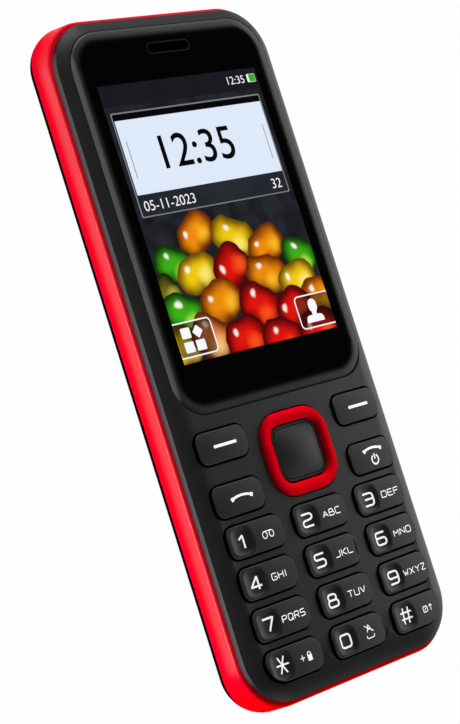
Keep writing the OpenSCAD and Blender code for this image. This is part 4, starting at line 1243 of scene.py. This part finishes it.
def make_floor():
    """A white floor with the phone's faint shadow, far enough below for the rear cover to come off."""
    bpy.ops.object.select_all(action="DESELECT")
    bpy.ops.mesh.primitive_plane_add(size=8, location=(0, 0, -FLOOR_DROP * MM))
    floor = bpy.context.object
    floor.name = "studio_floor"
    material, tree, shader, place = new_material("white_paper", roughness=0.9)
    mottle(tree, shader, place, 60, "#f6f6f6", "#fafafa", 0.85, 0.95)
    seen = add_node(tree, "LightPath", out="Is Camera Ray")
    for ray in ("Is Glossy Ray", "Is Transmission Ray"):
        mirrored = add_node(tree, "LightPath", out=ray)
        seen = add_node(tree, "Math", {0: seen, 1: mirrored}, operation="MAXIMUM")
    # The last hundredths show the paper itself, and the shadow on it
    share = add_node(tree, "Math", {0: seen, 1: 0.98}, operation="MULTIPLY")
    glow = add_node(tree, "Emission", {"Color": (1, 1, 1, 1), "Strength": 1.0})
    mix = add_node(tree, "MixShader", {0: share, 1: shader.outputs[0], 2: glow})
    feed(tree.nodes["Material Output"], {"Surface": mix})
    floor.data.materials.append(material)


def add_lamp(name, direction, distance, w, h, power):
    """A soft lamp that faces the phone, with metres and watts."""
    data = bpy.data.lights.new(name, "AREA")
    data.shape = "RECTANGLE"
    data.size = w
    data.size_y = h
    data.energy = power
    lamp = bpy.data.objects.new(name, data)
    bpy.context.collection.objects.link(lamp)
    away = Vector(direction).normalized()
    lamp.location = away * distance
    lamp.rotation_euler = away.to_track_quat("Z", "Y").to_euler()


def make_studio():
    """Floor, lamps and the room around them."""
    make_floor()
    add_lamp("right_lamp", (0.9, 0.15, 0.4), 0.8, 1.2, 0.4, 3.3)
    add_lamp("left_lamp", (-0.88, 0.06, 0.45), 0.8, 0.9, 0.25, 0.8)
    add_lamp("top_end_lamp", (0.12, 0.9, 0.4), 0.8, 0.5, 0.35, 4.8)
    add_lamp("low_end_lamp", (0.12, -0.93, 0.3), 0.8, 0.5, 0.3, 2.4)
    # A strip that stays below the front face, so that it lights the side alone
    add_lamp("table_strip_lamp", (-0.94, -0.26, 0.02), 0.25, 0.3, 0.009, 0.38)
    world = bpy.data.worlds.new("studio")
    bpy.context.scene.world = world
    world.use_nodes = True
    tree = world.node_tree
    sky = add_node(tree, "TexCoord", out="Generated")
    height = add_node(tree, "SeparateXYZ", {0: sky}, "Z")
    # Pale walls low down and a dark ceiling, which the gloss window mirrors
    strength = add_node(tree, "MapRange", {0: height, 1: 0.3, 2: 0.55, 3: 0.15, 4: 0.02}, **SOFT)
    feed(tree.nodes["Background"], {"Strength": strength, "Color": (1, 1, 1, 1)})
    bpy.context.scene.view_settings.view_transform = "Standard"


def make_camera():
    """The photograph's camera, worked out from the display's corners."""
    data = bpy.data.cameras.new("camera")
    data.lens = VIEW_LENS
    data.sensor_width = 36
    data.clip_start = 0.01
    camera = bpy.data.objects.new("camera", data)
    bpy.context.collection.objects.link(camera)
    ahead = Vector(VIEW_AHEAD).normalized()
    right = ahead.cross(Vector(VIEW_UP)).normalized()
    up = right.cross(ahead)
    turn = Matrix((right, up, -ahead)).transposed().to_4x4()
    camera.matrix_world = Matrix.Translation(Vector(VIEW_PLACE) * MM) @ turn
    bpy.context.scene.camera = camera


make_front_shell()
make_side_frame()
make_back_cover()
make_lens()
make_keys()
make_navigation()
make_picture()
finish_inside()
make_studio()
make_camera()
